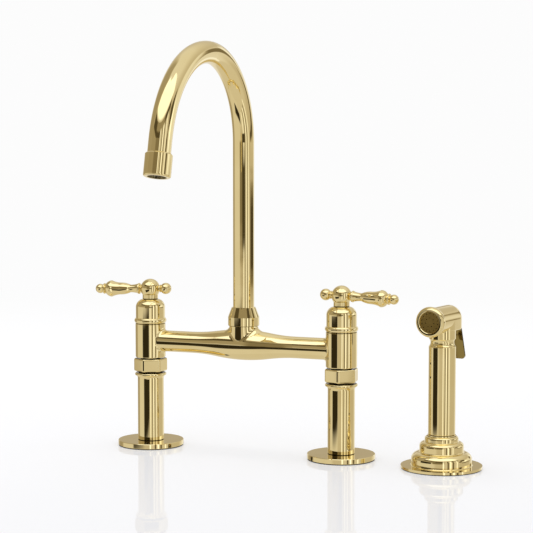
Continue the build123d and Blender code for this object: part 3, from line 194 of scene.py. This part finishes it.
# %% List the panels of the tent
FLOOR_TONE = 0.70
HORIZON_TONE = 0.60
CEILING_TONE = 0.80
FLOOR_BAND = (-30.0, -12.0)  # heights over which the floor turns into the horizon
CEILING_BAND = (20.0, 60.0)  # and the horizon into the ceiling
# headings in degrees, anticlockwise from the right of the set; heights above the horizon
# name: first heading, last heading, lowest, highest, tone, softness along, softness up
TENT_PANELS = {
    "back_wall": (60, 150, -30, 20, 0.82, 24, 10),
    "left_wall": (140, 205, -25, 70, 0.40, 24, 8),
    "left_floor": (-180, -100, -60, 3, 0.74, 14, 5),
    "low_back_card": (98, 128, 8, 15, 0.48, 6, 2),
    "ceiling_window": (-152, 4, 41, 80, 1.45, 8, 4),
    "front_wall": (-158, -50, 4, 26, 0.38, 8, 4),
    "front_dark": (-108, -58, -4, 26, 0.24, 8, 3),
    "front_beam": (-152, 0, 26, 38, 0.09, 5, 2),
    "front_lamp_glow": (-112, -36, 30, 38, 0.34, 8, 2),
    "white_card_right": (-62, -3, -42, 31, 0.70, 8, 3),
    "bright_strip_left": (-69, -64, -42, 31, 1.35, 3, 4),
    "bright_strip_middle": (-41, -36, -42, 31, 1.50, 3, 4),
    "bright_strip_right": (-14, -10, -42, 31, 1.35, 3, 4),
    "dark_line_left": (-51, -46, -42, 31, 0.10, 3, 3),
    "dark_line_right": (-31, -25, -42, 31, 0.16, 3, 3),
    "back_strip": (78, 86, -30, 20, 1.05, 4, 4),
    "right_bright": (14, 60, 1, 20, 0.88, 8, 4),
    "right_lamp": (24, 37, 5, 14, 1.45, 6, 4),
    "right_dark_door": (6, 27, 13, 27, 0.10, 4, 3),
    "right_edge": (-3, 9, 3, 14, 0.12, 3, 3),
    "right_skirting": (10, 58, -5, -1.5, 0.08, 6, 1.5),
    "back_door": (62, 76, 6, 18, 0.22, 5, 4),
}
print("tent panels:", ", ".join(TENT_PANELS))

# %% [markdown]
# The heading and the height of a direction come from the world's own coordinates. Each
# panel covers what is behind it with a soft edge, first sideways, then up and down.

# %% Draw the tent by direction
world = bpy.data.worlds.new("studio_tent")
bpy.context.scene.world = world
world.use_nodes = True
sky = world.node_tree
sky.nodes.clear()
toward = sky.nodes.new("ShaderNodeTexCoord")
axes = sky.nodes.new("ShaderNodeSeparateXYZ")
link(sky, toward.outputs["Generated"], axes.inputs[0])
heading = math_node(sky, "ARCTAN2", axes.outputs["Y"], axes.outputs["X"])
heading = math_node(sky, "MULTIPLY", heading, 180 / math.pi)
rise = math_node(sky, "ARCSINE", axes.outputs["Z"])
rise = math_node(sky, "MULTIPLY", rise, 180 / math.pi)

tone = smooth_range(sky, rise, *FLOOR_BAND, FLOOR_TONE, HORIZON_TONE)
ceiling = smooth_range(sky, rise, *CEILING_BAND, 0.0, CEILING_TONE - HORIZON_TONE)
tone = math_node(sky, "ADD", tone, ceiling)
for first, last, low, high, panel_tone, soft_along, soft_up in TENT_PANELS.values():
    away = math_node(sky, "SUBTRACT", heading, (first + last) / 2)
    away = math_node(sky, "WRAP", away, 180.0, -180.0)
    away = math_node(sky, "ABSOLUTE", away)
    half = (last - first) / 2
    along = smooth_range(sky, away, half - soft_along / 2, half + soft_along / 2, 1.0, 0.0)
    over = smooth_range(sky, rise, low - soft_up / 2, low + soft_up / 2)
    under = smooth_range(sky, rise, high - soft_up / 2, high + soft_up / 2, 1.0, 0.0)
    cover = math_node(sky, "MULTIPLY", math_node(sky, "MULTIPLY", along, over), under)
    tone = blend_to(sky, tone, panel_tone, cover)
print("the tent has", len(sky.nodes), "nodes so far")

# %% [markdown]
# Not every ray should see the panels. The camera sees plain white paper, and so does
# the floor's sharp mirror, which Blender calls singular. Everything that scatters
# light is lit by one even level, and only the slightly blurred mirror of the metal
# sees the tent. Darker panels are drawn a little warmer, because the dark reflections
# in the photograph are a deep brown and not a grey.

# %% Give each kind of ray its own view
PAPER_WHITE = 0.975
EVEN_LIGHT = 0.85
WARM_GREEN = 0.24  # share of green that black loses
WARM_BLUE = 0.64  # share of blue that black loses

rays = sky.nodes.new("ShaderNodeLightPath")
singular = rays.outputs["Is Singular Ray"]
mirrored = math_node(
    sky, "MAXIMUM", rays.outputs["Is Glossy Ray"], rays.outputs["Is Transmission Ray"]
)
strength = math_node(sky, "SUBTRACT", tone, EVEN_LIGHT)
strength = math_node(sky, "MULTIPLY_ADD", strength, mirrored, EVEN_LIGHT)
plain = math_node(sky, "MAXIMUM", rays.outputs["Is Camera Ray"], singular)
strength = blend_to(sky, strength, PAPER_WHITE, plain)
warmth = math_node(sky, "SUBTRACT", mirrored, singular, clamp=True)
depth = math_node(sky, "SUBTRACT", 1.0, tone, clamp=True)
depth = math_node(sky, "MULTIPLY", depth, warmth)
tint = sky.nodes.new("ShaderNodeCombineColor")
tint.inputs["Red"].default_value = 1.0
link(sky, math_node(sky, "MULTIPLY_ADD", depth, -WARM_GREEN, 1.0), tint.inputs["Green"])
link(sky, math_node(sky, "MULTIPLY_ADD", depth, -WARM_BLUE, 1.0), tint.inputs["Blue"])
backdrop = sky.nodes.new("ShaderNodeBackground")
link(sky, tint.outputs[0], backdrop.inputs["Color"])
link(sky, strength, backdrop.inputs["Strength"])
sky_out = sky.nodes.new("ShaderNodeOutputWorld")
link(sky, backdrop.outputs[0], sky_out.inputs["Surface"])
print("paper white", PAPER_WHITE, "and even light", EVEN_LIGHT)

# %% [markdown]
# ## Cards close to the set
# Panels drawn in the world are endlessly far away, so every post would mirror them at
# the same place. In the photograph the black streak sits further left on each piece
# that stands further right, so it comes from something close by: two real cards stand
# in front of the set. Only the mirror of the metal sees them; the camera, the light
# and the mirror in the table top pass straight through. They fade out at their edges,
# so a streak has a soft outline.

# %% Make the paint of a card
CARD_GLOW = (1.0, 0.78, 0.40, 1)
CARD_SOFTNESS = 0.034  # metres over which a card fades out at its edges


def distance_along_card(tree, centre):
    """Distance from the centre sideways and upwards, as two sockets."""
    spot = tree.nodes.new("ShaderNodeTexCoord")
    offset = tree.nodes.new("ShaderNodeVectorMath")
    offset.operation = "SUBTRACT"
    offset.inputs[1].default_value = centre
    link(tree, spot.outputs["Object"], offset.inputs[0])
    split = tree.nodes.new("ShaderNodeSeparateXYZ")
    link(tree, offset.outputs["Vector"], split.inputs[0])
    level = tree.nodes.new("ShaderNodeCombineXYZ")
    link(tree, split.outputs["X"], level.inputs["X"])
    link(tree, split.outputs["Y"], level.inputs["Y"])
    sideways = tree.nodes.new("ShaderNodeVectorMath")
    sideways.operation = "LENGTH"
    link(tree, level.outputs[0], sideways.inputs[0])
    return sideways.outputs["Value"], math_node(tree, "ABSOLUTE", split.outputs["Z"])


def card_paint(name, tone, centre, width, height):
    """Dark glow for blurred mirror rays, fading at the edges, clear for all others."""
    material, tree = new_material(name)
    tree.nodes.clear()
    rays = tree.nodes.new("ShaderNodeLightPath")
    mirror = math_node(
        tree, "SUBTRACT", rays.outputs["Is Glossy Ray"], rays.outputs["Is Singular Ray"], clamp=True
    )
    sideways, up = distance_along_card(tree, centre)
    for away, half in ((sideways, width / 2), (up, height / 2)):
        inside = smooth_range(tree, away, half - CARD_SOFTNESS, half, 1.0, 0.0)
        mirror = math_node(tree, "MULTIPLY", mirror, inside)
    clear = tree.nodes.new("ShaderNodeBsdfTransparent")
    dark = tree.nodes.new("ShaderNodeEmission")
    dark.inputs["Color"].default_value = CARD_GLOW
    dark.inputs["Strength"].default_value = tone
    whole = tree.nodes.new("ShaderNodeMixShader")
    link(tree, mirror, whole.inputs["Fac"])
    link(tree, clear.outputs[0], whole.inputs[1])
    link(tree, dark.outputs[0], whole.inputs[2])
    out = tree.nodes.new("ShaderNodeOutputMaterial")
    link(tree, whole.outputs[0], out.inputs["Surface"])
    return material


print("cards fade over", round(CARD_SOFTNESS / MM), "mm")

# %% Stand the dark cards in front of the set
# name: left foot, right foot, lowest and highest edge in metres, tone
NEAR_CARDS = {
    "low_black_card": ((-0.26, -0.20), (0.027, -0.478), -0.068, 0.120, 0.03),
    "camera_card": ((0.10, -0.75), (0.50, -0.62), 0.135, 0.30, 0.07),
}


def stand_card(name, left, right, low, high, tone):
    """Upright card between two feet, seen only by mirrors."""
    run = Vector((right[0] - left[0], right[1] - left[1], 0))
    upright = Vector((0, 0, 1))
    centre = Vector((left[0], left[1], low)) + run / 2 + upright * (high - low) / 2
    facing = Matrix((run.normalized(), upright, run.normalized().cross(upright))).transposed()
    bm = bmesh.new()
    bmesh.ops.create_grid(bm, x_segments=1, y_segments=1, size=0.5)
    bmesh.ops.scale(bm, vec=(run.length, high - low, 1), verts=bm.verts)
    bmesh.ops.transform(bm, matrix=facing.to_4x4(), verts=bm.verts)
    bmesh.ops.translate(bm, vec=centre, verts=bm.verts)
    mesh = bpy.data.meshes.new(name)
    bm.to_mesh(mesh)
    bm.free()
    mesh.materials.append(card_paint(name, tone, centre, run.length, high - low))
    card = add_object(name, mesh)
    card.visible_camera = False
    card.visible_diffuse = False
    card.visible_shadow = False
    card.visible_transmission = False
    print(name, "is", round(run.length, 3), "m wide")


for name, (left, right, low, high, tone) in NEAR_CARDS.items():
    stand_card(name, left, right, low, high, tone)

# %% [markdown]
# ## The lamp
# One wide soft lamp overhead gives the set its weight on the floor. It is weak,
# because the tent already lights everything evenly, and the metal doesn't mirror it.

# %% Hang the lamp
LAMP_SIZE = (1.4, 0.8)
LAMP_POWER = 6.0
LAMP_PLACE = (-0.2, 0.1, 1.7)

lamp = bpy.data.lights.new("overhead", "AREA")
lamp.shape = "RECTANGLE"
lamp.size, lamp.size_y = LAMP_SIZE
lamp.energy = LAMP_POWER
overhead = add_object("overhead", lamp)
overhead.location = LAMP_PLACE
overhead.visible_glossy = False
print("lamp of", lamp.energy, "W at", tuple(overhead.location))

# %% [markdown]
# ## The floor
# The set stands on a glossy white table top that fades into the background. Its
# lacquer is a sharp mirror with a low index of refraction, so the image under each
# flange is crisp but faint. A small glow lifts the top to the white behind it, and
# further off it turns into plain paper. The mirror of the brass doesn't see the top at
# all: it looks past it into the lower half of the tent, which has the same pale tone,
# so the cards reach down to the foot of each post.

# %% Lay the floor
FLOOR_SIZE = 30.0
FLOOR_DROP = 0.00005

bm = bmesh.new()
bmesh.ops.create_grid(bm, x_segments=2, y_segments=2, size=FLOOR_SIZE / 2)
bmesh.ops.translate(bm, vec=(0, 0, -FLOOR_DROP), verts=bm.verts)
floor_mesh = bpy.data.meshes.new("floor")
bm.to_mesh(floor_mesh)
bm.free()
floor = add_object("floor", floor_mesh)
floor.visible_glossy = False
print("floor", FLOOR_SIZE, "m wide")

# %% Finish the floor
LACQUER_COLOUR = (0.605, 0.605, 0.625, 1)
LACQUER_INDEX = 1.12
FLOOR_GLOW = 0.30
FADE_FROM = 0.45  # metres from the middle of the set
FADE_TO = 1.8

white_top, tree = new_material("glossy_white_top")
tree.nodes.clear()
lacquer = tree.nodes.new("ShaderNodeBsdfPrincipled")
lacquer.inputs["Base Color"].default_value = LACQUER_COLOUR
lacquer.inputs["Roughness"].default_value = 0.0
lacquer.inputs["IOR"].default_value = LACQUER_INDEX
rays = tree.nodes.new("ShaderNodeLightPath")
seen = math_node(tree, "MAXIMUM", rays.outputs["Is Camera Ray"], rays.outputs["Is Glossy Ray"])
seen = math_node(tree, "MAXIMUM", seen, rays.outputs["Is Transmission Ray"])
glow = tree.nodes.new("ShaderNodeEmission")
glow.inputs["Color"].default_value = (1, 1, 1, 1)
link(tree, math_node(tree, "MULTIPLY", seen, FLOOR_GLOW), glow.inputs["Strength"])
near = tree.nodes.new("ShaderNodeAddShader")
link(tree, lacquer.outputs[0], near.inputs[0])
link(tree, glow.outputs[0], near.inputs[1])
paper = tree.nodes.new("ShaderNodeEmission")
level = math_node(tree, "MULTIPLY_ADD", seen, PAPER_WHITE - EVEN_LIGHT, EVEN_LIGHT)
link(tree, level, paper.inputs["Strength"])
spot = tree.nodes.new("ShaderNodeTexCoord")
away = tree.nodes.new("ShaderNodeVectorMath")
away.operation = "LENGTH"
link(tree, spot.outputs["Object"], away.inputs[0])
fade = smooth_range(tree, away.outputs["Value"], FADE_FROM, FADE_TO)
whole = tree.nodes.new("ShaderNodeMixShader")
link(tree, fade, whole.inputs["Fac"])
link(tree, near.outputs[0], whole.inputs[1])
link(tree, paper.outputs[0], whole.inputs[2])
out = tree.nodes.new("ShaderNodeOutputMaterial")
link(tree, whole.outputs[0], out.inputs["Surface"])
floor.data.materials.append(white_top)
print("the top turns into paper", FADE_TO, "m away")

# %% [markdown]
# ## Marks that every metal shares
# No polished metal is perfect. Seen close it has fine wheel marks, a few smears where
# hands have been, and a surface that rises and falls by a hair from the buffing. They
# are built once, with a slow drift of tone beside them, as a node group. Its inputs
# give each metal below its own strength of wheel marks and waves, and a smear shows as
# a rougher patch.

# %% Helpers for groups and noise
def new_group(name, inputs, outputs):
    """Empty shader group with float inputs (with defaults) and float outputs."""
    group = bpy.data.node_groups.new(name, "ShaderNodeTree")
    for label, value in inputs:
        socket = group.interface.new_socket(label, in_out="INPUT", socket_type="NodeSocketFloat")
        socket.default_value = value
    for label in outputs:
        group.interface.new_socket(label, in_out="OUTPUT", socket_type="NodeSocketFloat")
    entry = group.nodes.new("NodeGroupInput")
    leave = group.nodes.new("NodeGroupOutput")
    return group, entry, leave


def noise(tree, coordinates, scale, detail=3.0, stretch=None, roughness=0.5):
    """Noise on the given coordinates; stretch scales them first, axis by axis."""
    if stretch is not None:
        mapping = tree.nodes.new("ShaderNodeMapping")
        mapping.inputs["Scale"].default_value = stretch
        link(tree, coordinates, mapping.inputs["Vector"])
        coordinates = mapping.outputs["Vector"]
    node = tree.nodes.new("ShaderNodeTexNoise")
    node.inputs["Scale"].default_value = scale
    node.inputs["Detail"].default_value = detail
    node.inputs["Roughness"].default_value = roughness
    link(tree, coordinates, node.inputs["Vector"])
    return node.outputs["Fac"]


print("noise is read in object coordinates, so it stays on each piece")

# %% Build the polish marks group
WHEEL_SCALE = 900.0
WHEEL_STRETCH = (1.0, 1.0, 7.0)  # short upwards, so the marks run round a turned piece
WHEEL_DEPTH = 0.004  # beside the buffing waves, whose depth is 1
WAVE_SCALE = 38.0
SMEAR_SCALE = 60.0
SMEAR_STRETCH = (1.0, 1.0, 0.55)
SMEAR_RANGE = (0.45, 0.72)  # below the first no smear, above the second a full one
TONE_SCALE = 22.0
TONE_RANGE = (0.3, 0.7)

marks, marks_in, marks_out = new_group(
    "polish_marks",
    (("Wheel marks", 1.0), ("Waves", 1.0)),
    ("Height", "Smear", "Tone"),
)
place = marks.nodes.new("ShaderNodeTexCoord").outputs["Object"]
wheel = noise(marks, place, WHEEL_SCALE, 4.0, stretch=WHEEL_STRETCH, roughness=0.6)
waves = noise(marks, place, WAVE_SCALE, 1.0)
smears = noise(marks, place, SMEAR_SCALE, 5.0, stretch=SMEAR_STRETCH, roughness=0.62)
drift = noise(marks, place, TONE_SCALE, 4.0, roughness=0.55)
wheel = math_node(marks, "MULTIPLY", wheel, WHEEL_DEPTH)
wheel = math_node(marks, "MULTIPLY", wheel, marks_in.outputs["Wheel marks"])
waves = math_node(marks, "MULTIPLY", waves, marks_in.outputs["Waves"])
link(marks, math_node(marks, "ADD", wheel, waves), marks_out.inputs["Height"])
link(marks, smooth_range(marks, smears, *SMEAR_RANGE), marks_out.inputs["Smear"])
link(marks, smooth_range(marks, drift, *TONE_RANGE), marks_out.inputs["Tone"])
print("group", marks.name, "has", len(marks.nodes), "nodes")

# %% [markdown]
# ## The finishes
# One function makes a metal from two tones of its colour, a roughness, and how strong
# the shared marks are on it. Brass is a plain mirror metal: its yellow is only in what
# it reflects, so the base colour is bright and the darks come from the studio. Where
# two pieces meet, a thin dark line of painted shade and dirt, for the narrow gap
# between them, can be drawn into the colour at a given height.

# %% Make a metal
BUFF_STRENGTH = 0.06
BUFF_DEPTH = 0.002
GAP_SHADE_EDGE = 0.00012  # metres over which a line of painted gap shade fades out
# painted shade and dirt of the narrow gap where two pieces meet
GAP_SHADE_COLOUR = (0.045, 0.033, 0.012, 1)


def two_tones(tree, deep, bright, share):
    """Colour between a deep and a bright tone; either may be a socket."""
    mix = tree.nodes.new("ShaderNodeMix")
    mix.data_type = "RGBA"
    link(tree, share, mix.inputs["Factor"])
    for value, socket in ((deep, mix.inputs["A"]), (bright, mix.inputs["B"])):
        if isinstance(value, tuple):
            socket.default_value = value
        else:
            link(tree, value, socket)
    return mix.outputs["Result"]


def gap_shade_lines(tree, colour, shade_bands):
    """The colour with a dark line of painted gap shade and dirt in each band of heights."""
    split = tree.nodes.new("ShaderNodeSeparateXYZ")
    link(tree, tree.nodes.new("ShaderNodeTexCoord").outputs["Object"], split.inputs[0])
    dark = None
    for low, high in shade_bands:
        away = math_node(tree, "SUBTRACT", split.outputs["Z"], (low + high) / 2)
        away = math_node(tree, "ABSOLUTE", away)
        half = (high - low) / 2
        band = smooth_range(tree, away, half, half + GAP_SHADE_EDGE, 1.0, 0.0)
        dark = band if dark is None else math_node(tree, "MAXIMUM", dark, band)
    return two_tones(tree, colour, GAP_SHADE_COLOUR, dark)


def add_bump(tree, shader, height, strength, distance):
    hump = tree.nodes.new("ShaderNodeBump")
    hump.inputs["Strength"].default_value = strength
    hump.inputs["Distance"].default_value = distance
    link(tree, height, hump.inputs["Height"])
    link(tree, hump.outputs["Normal"], shader.inputs["Normal"])


def metal(name, bright, deep, roughness, smear_roughness, waves=1.0, wheel=1.0, shade_bands=()):
    """Metal with the shared marks, and bands of heights, in metres, painted dark as the shade and
    dirt of a gap.
    """
    material, tree = new_material(name)
    shader = tree.nodes["Principled BSDF"]
    shader.inputs["Metallic"].default_value = 1.0
    group = tree.nodes.new("ShaderNodeGroup")
    group.node_tree = marks
    group.inputs["Wheel marks"].default_value = wheel
    group.inputs["Waves"].default_value = waves
    colour = two_tones(tree, (*deep, 1), (*bright, 1), group.outputs["Tone"])
    if shade_bands:
        colour = gap_shade_lines(tree, colour, shade_bands)
    link(tree, colour, shader.inputs["Base Color"])
    rough = math_node(tree, "MULTIPLY", group.outputs["Smear"], smear_roughness - roughness)
    link(tree, math_node(tree, "ADD", rough, roughness), shader.inputs["Roughness"])
    add_bump(tree, shader, group.outputs["Height"], BUFF_STRENGTH, BUFF_DEPTH)
    return material


print("joint lines fade over", round(GAP_SHADE_EDGE / MM, 2), "mm")

# %% Mix the metals
BRASS_BRIGHT = (0.92, 0.795, 0.455)
BRASS_DEEP = (0.88, 0.745, 0.40)
BRASS_ROUGHNESS = 0.028
BRASS_SMEAR_ROUGHNESS = 0.07


def brass(name, shade_bands=(), shade=1.0):
    """Polished brass with painted gap shade and dirt at some heights, or darker all over as painted
    shade.
    """
    bright = [value * shade for value in BRASS_BRIGHT]
    deep = [value * shade for value in BRASS_DEEP]
    return metal(name, bright, deep, BRASS_ROUGHNESS, BRASS_SMEAR_ROUGHNESS, shade_bands=shade_bands)


# name: bright tone, deep tone, roughness, roughness of a smear, waves, wheel marks
DULL_METALS = {
    "raw_brass": ((0.70, 0.52, 0.24), (0.60, 0.43, 0.18), 0.26, 0.40, 0.3, 3.0),
    "face_plate_brass": ((0.36, 0.26, 0.085), (0.27, 0.19, 0.055), 0.34, 0.5, 0.3, 2.0),
    "stainless_steel": ((0.62, 0.61, 0.60), (0.52, 0.52, 0.51), 0.3, 0.42, 0.3, 3.0),
}
FINISHES = {"polished_brass": brass("polished_brass")}
for name, recipe in DULL_METALS.items():
    FINISHES[name] = metal(name, *recipe)
print("metals:", ", ".join(FINISHES))

# %% [markdown]
# Rubber, plastic, fibre and ceramic scatter light instead of mirroring it. They share
# a fine grain and a slow drift of tone, so that no surface is one flat colour.

# %% Mix the scattering finishes
DRIFT_SCALE = 90.0
GRAIN_RANGE = (0.3, 0.7)
GRAIN_ROUGHNESS = 0.08  # how far the grain moves the roughness either way
GRAIN_DEPTH = 0.0002
# name: pale tone, deep tone, roughness, scale of the grain, strength of its bump
PLAIN_FINISHES = {
    "black_rubber": ((0.03, 0.03, 0.03), (0.012, 0.012, 0.012), 0.6, 1500.0, 0.4),
    "fibre_washer": ((0.36, 0.09, 0.05), (0.24, 0.05, 0.03), 0.8, 900.0, 0.6),
    "white_ceramic": ((0.86, 0.86, 0.83), (0.78, 0.78, 0.75), 0.25, 2000.0, 0.05),
    "black_plastic": ((0.03, 0.03, 0.032), (0.015, 0.015, 0.016), 0.38, 1200.0, 0.15),
    "white_plastic": ((0.82, 0.82, 0.78), (0.74, 0.74, 0.70), 0.45, 1200.0, 0.15),
}


def plain_finish(name, pale, deep, roughness, grain_scale, bump):
    material, tree = new_material(name)
    shader = tree.nodes["Principled BSDF"]
    place = tree.nodes.new("ShaderNodeTexCoord").outputs["Object"]
    drift = noise(tree, place, DRIFT_SCALE, 4.0)
    grain = noise(tree, place, grain_scale, 3.0)
    link(tree, two_tones(tree, (*deep, 1), (*pale, 1), drift), shader.inputs["Base Color"])
    smooth, coarse = roughness - GRAIN_ROUGHNESS, roughness + GRAIN_ROUGHNESS
    rough = smooth_range(tree, grain, *GRAIN_RANGE, smooth, coarse)
    link(tree, rough, shader.inputs["Roughness"])
    add_bump(tree, shader, grain, bump, GRAIN_DEPTH)
    return material


for name, recipe in PLAIN_FINISHES.items():
    FINISHES[name] = plain_finish(name, *recipe)
print("finishes:", len(FINISHES))

# %% [markdown]
# ## Dress the frame
# Every node of the frame names its finish in the record. Assigning the material to the
# object's slot leaves the mesh as it is.

# %% Give each node its finish
slot_of = {entry["node"]: entry["material_slot"] for entry in frame["record"]["subparts"]}
for node, piece in frame["nodes"].items():
    piece.data.materials.clear()
    piece.data.materials.append(FINISHES[slot_of[node]])
print("dressed", len(frame["nodes"]), "nodes")

# %% [markdown]
# Where two turned pieces meet, a thin dark line is painted into the colour: the
# shade of the narrow gap between them, with some dirt in it. These lines sit at known
# heights, so the same brass is made once more for each kind of piece, with its own
# bands: under and over the union nuts, at the foot of the bonnets and of the spout nut,
# and round the hubs. The thumb trigger is a flat pressed strip, painted darker all over
# as painted shade and the dark reflection on its flat face.

# %% Paint shade into the gaps at the joints
# painted shade and painted dark reflection on the trigger's flat face
TRIGGER_SHADE = 0.36
flange_top = top_of("hot_flange")
nut_foot = foot_of("hot_union_nut")
nut_top = top_of("hot_union_nut")
bonnet_foot = foot_of("hot_bonnet")
hub_foot = foot_of("hot_lever_hub")
spout_nut_foot = foot_of("spout_nut")
# kind of piece: its nodes, its bands of painted gap shade and dirt
SHADED_GAPS = {
    "post": (
        ("hot_post", "cold_post"),
        ((flange_top, flange_top + 0.5 * MM), (nut_foot - 1.15 * MM, top_of("hot_post"))),
    ),
    "body": (("bridge_body",), ((nut_top - 1.0 * MM, nut_top + 0.55 * MM),)),
    "bonnet": (("hot_bonnet", "cold_bonnet"), ((bonnet_foot, bonnet_foot + 0.45 * MM),)),
    "hub": (("hot_lever_hub", "cold_lever_hub"), ((hub_foot - 0.2 * MM, hub_foot + 0.3 * MM),)),
    "spout_nut": (("spout_nut",), ((spout_nut_foot, spout_nut_foot + 0.35 * MM),)),
}
# each kind of piece gets its own brass with painted shade and dirt in its gaps
for kind, (nodes, bands) in SHADED_GAPS.items():
    gap_shaded_brass = brass(f"polished_brass_{kind}", bands)
    for node in nodes:
        frame["nodes"][node].data.materials[0] = gap_shaded_brass
# the trigger is painted darker all over, as painted shade and dark reflection
trigger_shaded_brass = brass("trigger_shaded_brass", shade=TRIGGER_SHADE)
frame["nodes"]["spray_trigger"].data.materials[0] = trigger_shaded_brass
print("joint lines on", sum(len(nodes) for nodes, bands in SHADED_GAPS.values()), "nodes")

# %% [markdown]
# ## The union nuts
# A forged and polished nut has no sharp corner left: the six uprights and both rims
# are rounded, and each rounding carries its own bright line. A hexagon is drawn as a
# circle of six points, its corners are rounded before it is raised, and the rims are
# bevelled after. Last the two end faces are drawn in to the round bore and joined
# through it, so the nut stays a closed ring.

# %% Shape a union nut
NUT_HALF_WIDTH = 14.8 * MM  # from the axis to a flat
NUT_CORNER_ROUND = 3.0 * MM
NUT_RIM_ROUND = 1.8 * MM
NUT_BORE = 13.0 * MM
NUT_END_STEP = 0.4 * MM
NUT_GAP = 0.25 * MM  # the rims stop this short of the measured nut at both ends
HEXAGON_HALF_ANGLE = math.pi / 6

rounded_foot = nut_foot + NUT_GAP
rounded_top = nut_top - NUT_GAP


def raise_hexagon(bm, turn):
    """Hexagonal block with rounded uprights, between the nut's two ends."""
    corner = NUT_HALF_WIDTH / math.cos(HEXAGON_HALF_ANGLE)
    bmesh.ops.create_circle(bm, cap_ends=True, segments=6, radius=corner)
    bmesh.ops.rotate(bm, matrix=Matrix.Rotation(turn - math.pi / 2, 3, "Z"), verts=bm.verts)
    bmesh.ops.bevel(
        bm, geom=list(bm.verts), offset=NUT_CORNER_ROUND * math.tan(HEXAGON_HALF_ANGLE),
        offset_type="OFFSET", segments=6, profile=0.5, affect="VERTICES", material=-1,
    )
    bmesh.ops.translate(bm, vec=Vector((0, 0, rounded_foot)), verts=bm.verts)
    raised = bmesh.ops.extrude_face_region(bm, geom=list(bm.faces))["geom"]
    raised = [item for item in raised if isinstance(item, bmesh.types.BMVert)]
    bmesh.ops.translate(bm, vec=Vector((0, 0, rounded_top - rounded_foot)), verts=raised)
    bmesh.ops.recalc_face_normals(bm, faces=bm.faces)


def round_rims(bm):
    """Bevel along the outline of both end faces."""
    ends = [face for face in bm.faces if abs(face.normal.z) > 0.5]
    rims = [edge for face in ends for edge in face.edges]
    bmesh.ops.bevel(
        bm, geom=rims, offset=NUT_RIM_ROUND, offset_type="OFFSET", segments=5,
        profile=0.5, affect="EDGES", material=-1,
    )


def bore_through(bm):
    """Draw both end faces in to a circle, and join the circles by a wall."""
    ends = [face for face in bm.faces if abs(face.normal.z) > 0.99 and len(face.verts) > 8]
    circles = []
    for end in ends:
        bmesh.ops.inset_region(bm, faces=[end], thickness=NUT_END_STEP, use_even_offset=True)
        for vert in end.verts:
            outward = Vector((vert.co.x, vert.co.y, 0)).normalized()
            vert.co = outward * NUT_BORE + Vector((0, 0, vert.co.z))
        circles += list(end.edges)
    bmesh.ops.delete(bm, geom=ends, context="FACES_ONLY")
    bmesh.ops.bridge_loops(bm, edges=circles)
    bmesh.ops.recalc_face_normals(bm, faces=bm.faces)


print("nut between", round(rounded_foot / MM, 2), "and", round(rounded_top / MM, 2), "mm")

# %% [markdown]
# Both nuts are the same shape, but each was tightened to its own angle. Weighted
# normals keep the six faces flat between the roundings. Both rims are painted dark, as
# the shade and dirt of the gaps where the nut meets the post's collar below and the
# valve body above.

# %% Make the two union nuts
NUT_TURN = {"hot": -31.5, "cold": -21.5}  # degrees, heading of one corner
NUT_RIM_SHADE = 0.3 * MM
FLAT_FACE_WEIGHT = 80

# painted shade and dirt in the gaps at both rims of each nut
nut_rim_shaded_brass = brass("polished_brass_nut", (
    (rounded_foot - MM, rounded_foot + NUT_RIM_SHADE),
    (rounded_top - NUT_RIM_SHADE, rounded_top + MM),
))


def stand_for(node, body, name, mesh, material):
    """Object that rides on a body in place of a node of the frame."""
    mesh.shade_smooth()
    mesh.materials.clear()
    mesh.materials.append(material)
    piece = add_object(name, mesh)
    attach(piece, body)
    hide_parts(node)
    return piece


def union_nut(side):
    bm = bmesh.new()
    raise_hexagon(bm, math.radians(NUT_TURN[side]))
    round_rims(bm)
    bore_through(bm)
    bmesh.ops.translate(bm, vec=post_place[side], verts=bm.verts)
    name = f"{side}_union_nut_rounded"
    mesh = bpy.data.meshes.new(name)
    bm.to_mesh(mesh)
    bm.free()
    nut = stand_for(f"{side}_union_nut", "deck_set", name, mesh, nut_rim_shaded_brass)
    nut.modifiers.new("flat_faces", "WEIGHTED_NORMAL").weight = FLAT_FACE_WEIGHT
    return nut


for side in SIDES:
    nut = union_nut(side)
    print(nut.name, "has", len(nut.data.polygons), "faces")

# %% [markdown]
# ## The springs
# Two small springs sit inside the set, behind the diverter's piston and behind the
# spray's plunger. A rigid spring would be pierced as the piston comes down on it; each
# here is a copy of the measured one, at its full length. The copy's doubled points are
# merged first, which closes the surface of the wire.

# %% Copy the springs
MERGE_DISTANCE = 1e-6
joints = {joint["name"]: joint for joint in frame["record"]["behaviour"]["joints"]}


def soft_spring(node, body):
    """Copy of a spring, with its doubled points merged, in the place of the measured one."""
    mesh = frame["nodes"][node].data.copy()
    bm = bmesh.new()
    bm.from_mesh(mesh)
    bmesh.ops.remove_doubles(bm, verts=bm.verts, dist=MERGE_DISTANCE)
    bmesh.ops.recalc_face_normals(bm, faces=bm.faces)
    bm.to_mesh(mesh)
    bm.free()
    spring = stand_for(node, body, f"{node}_soft", mesh, FINISHES[slot_of[node]])
    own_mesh(spring)


low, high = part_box("diverter_spring")
soft_spring("diverter_spring", "deck_set")

low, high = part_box("spray_valve_spring")
along = Vector(joints["plunger_slide"]["axis"]).normalized()
soft_spring("spray_valve_spring", "wand")
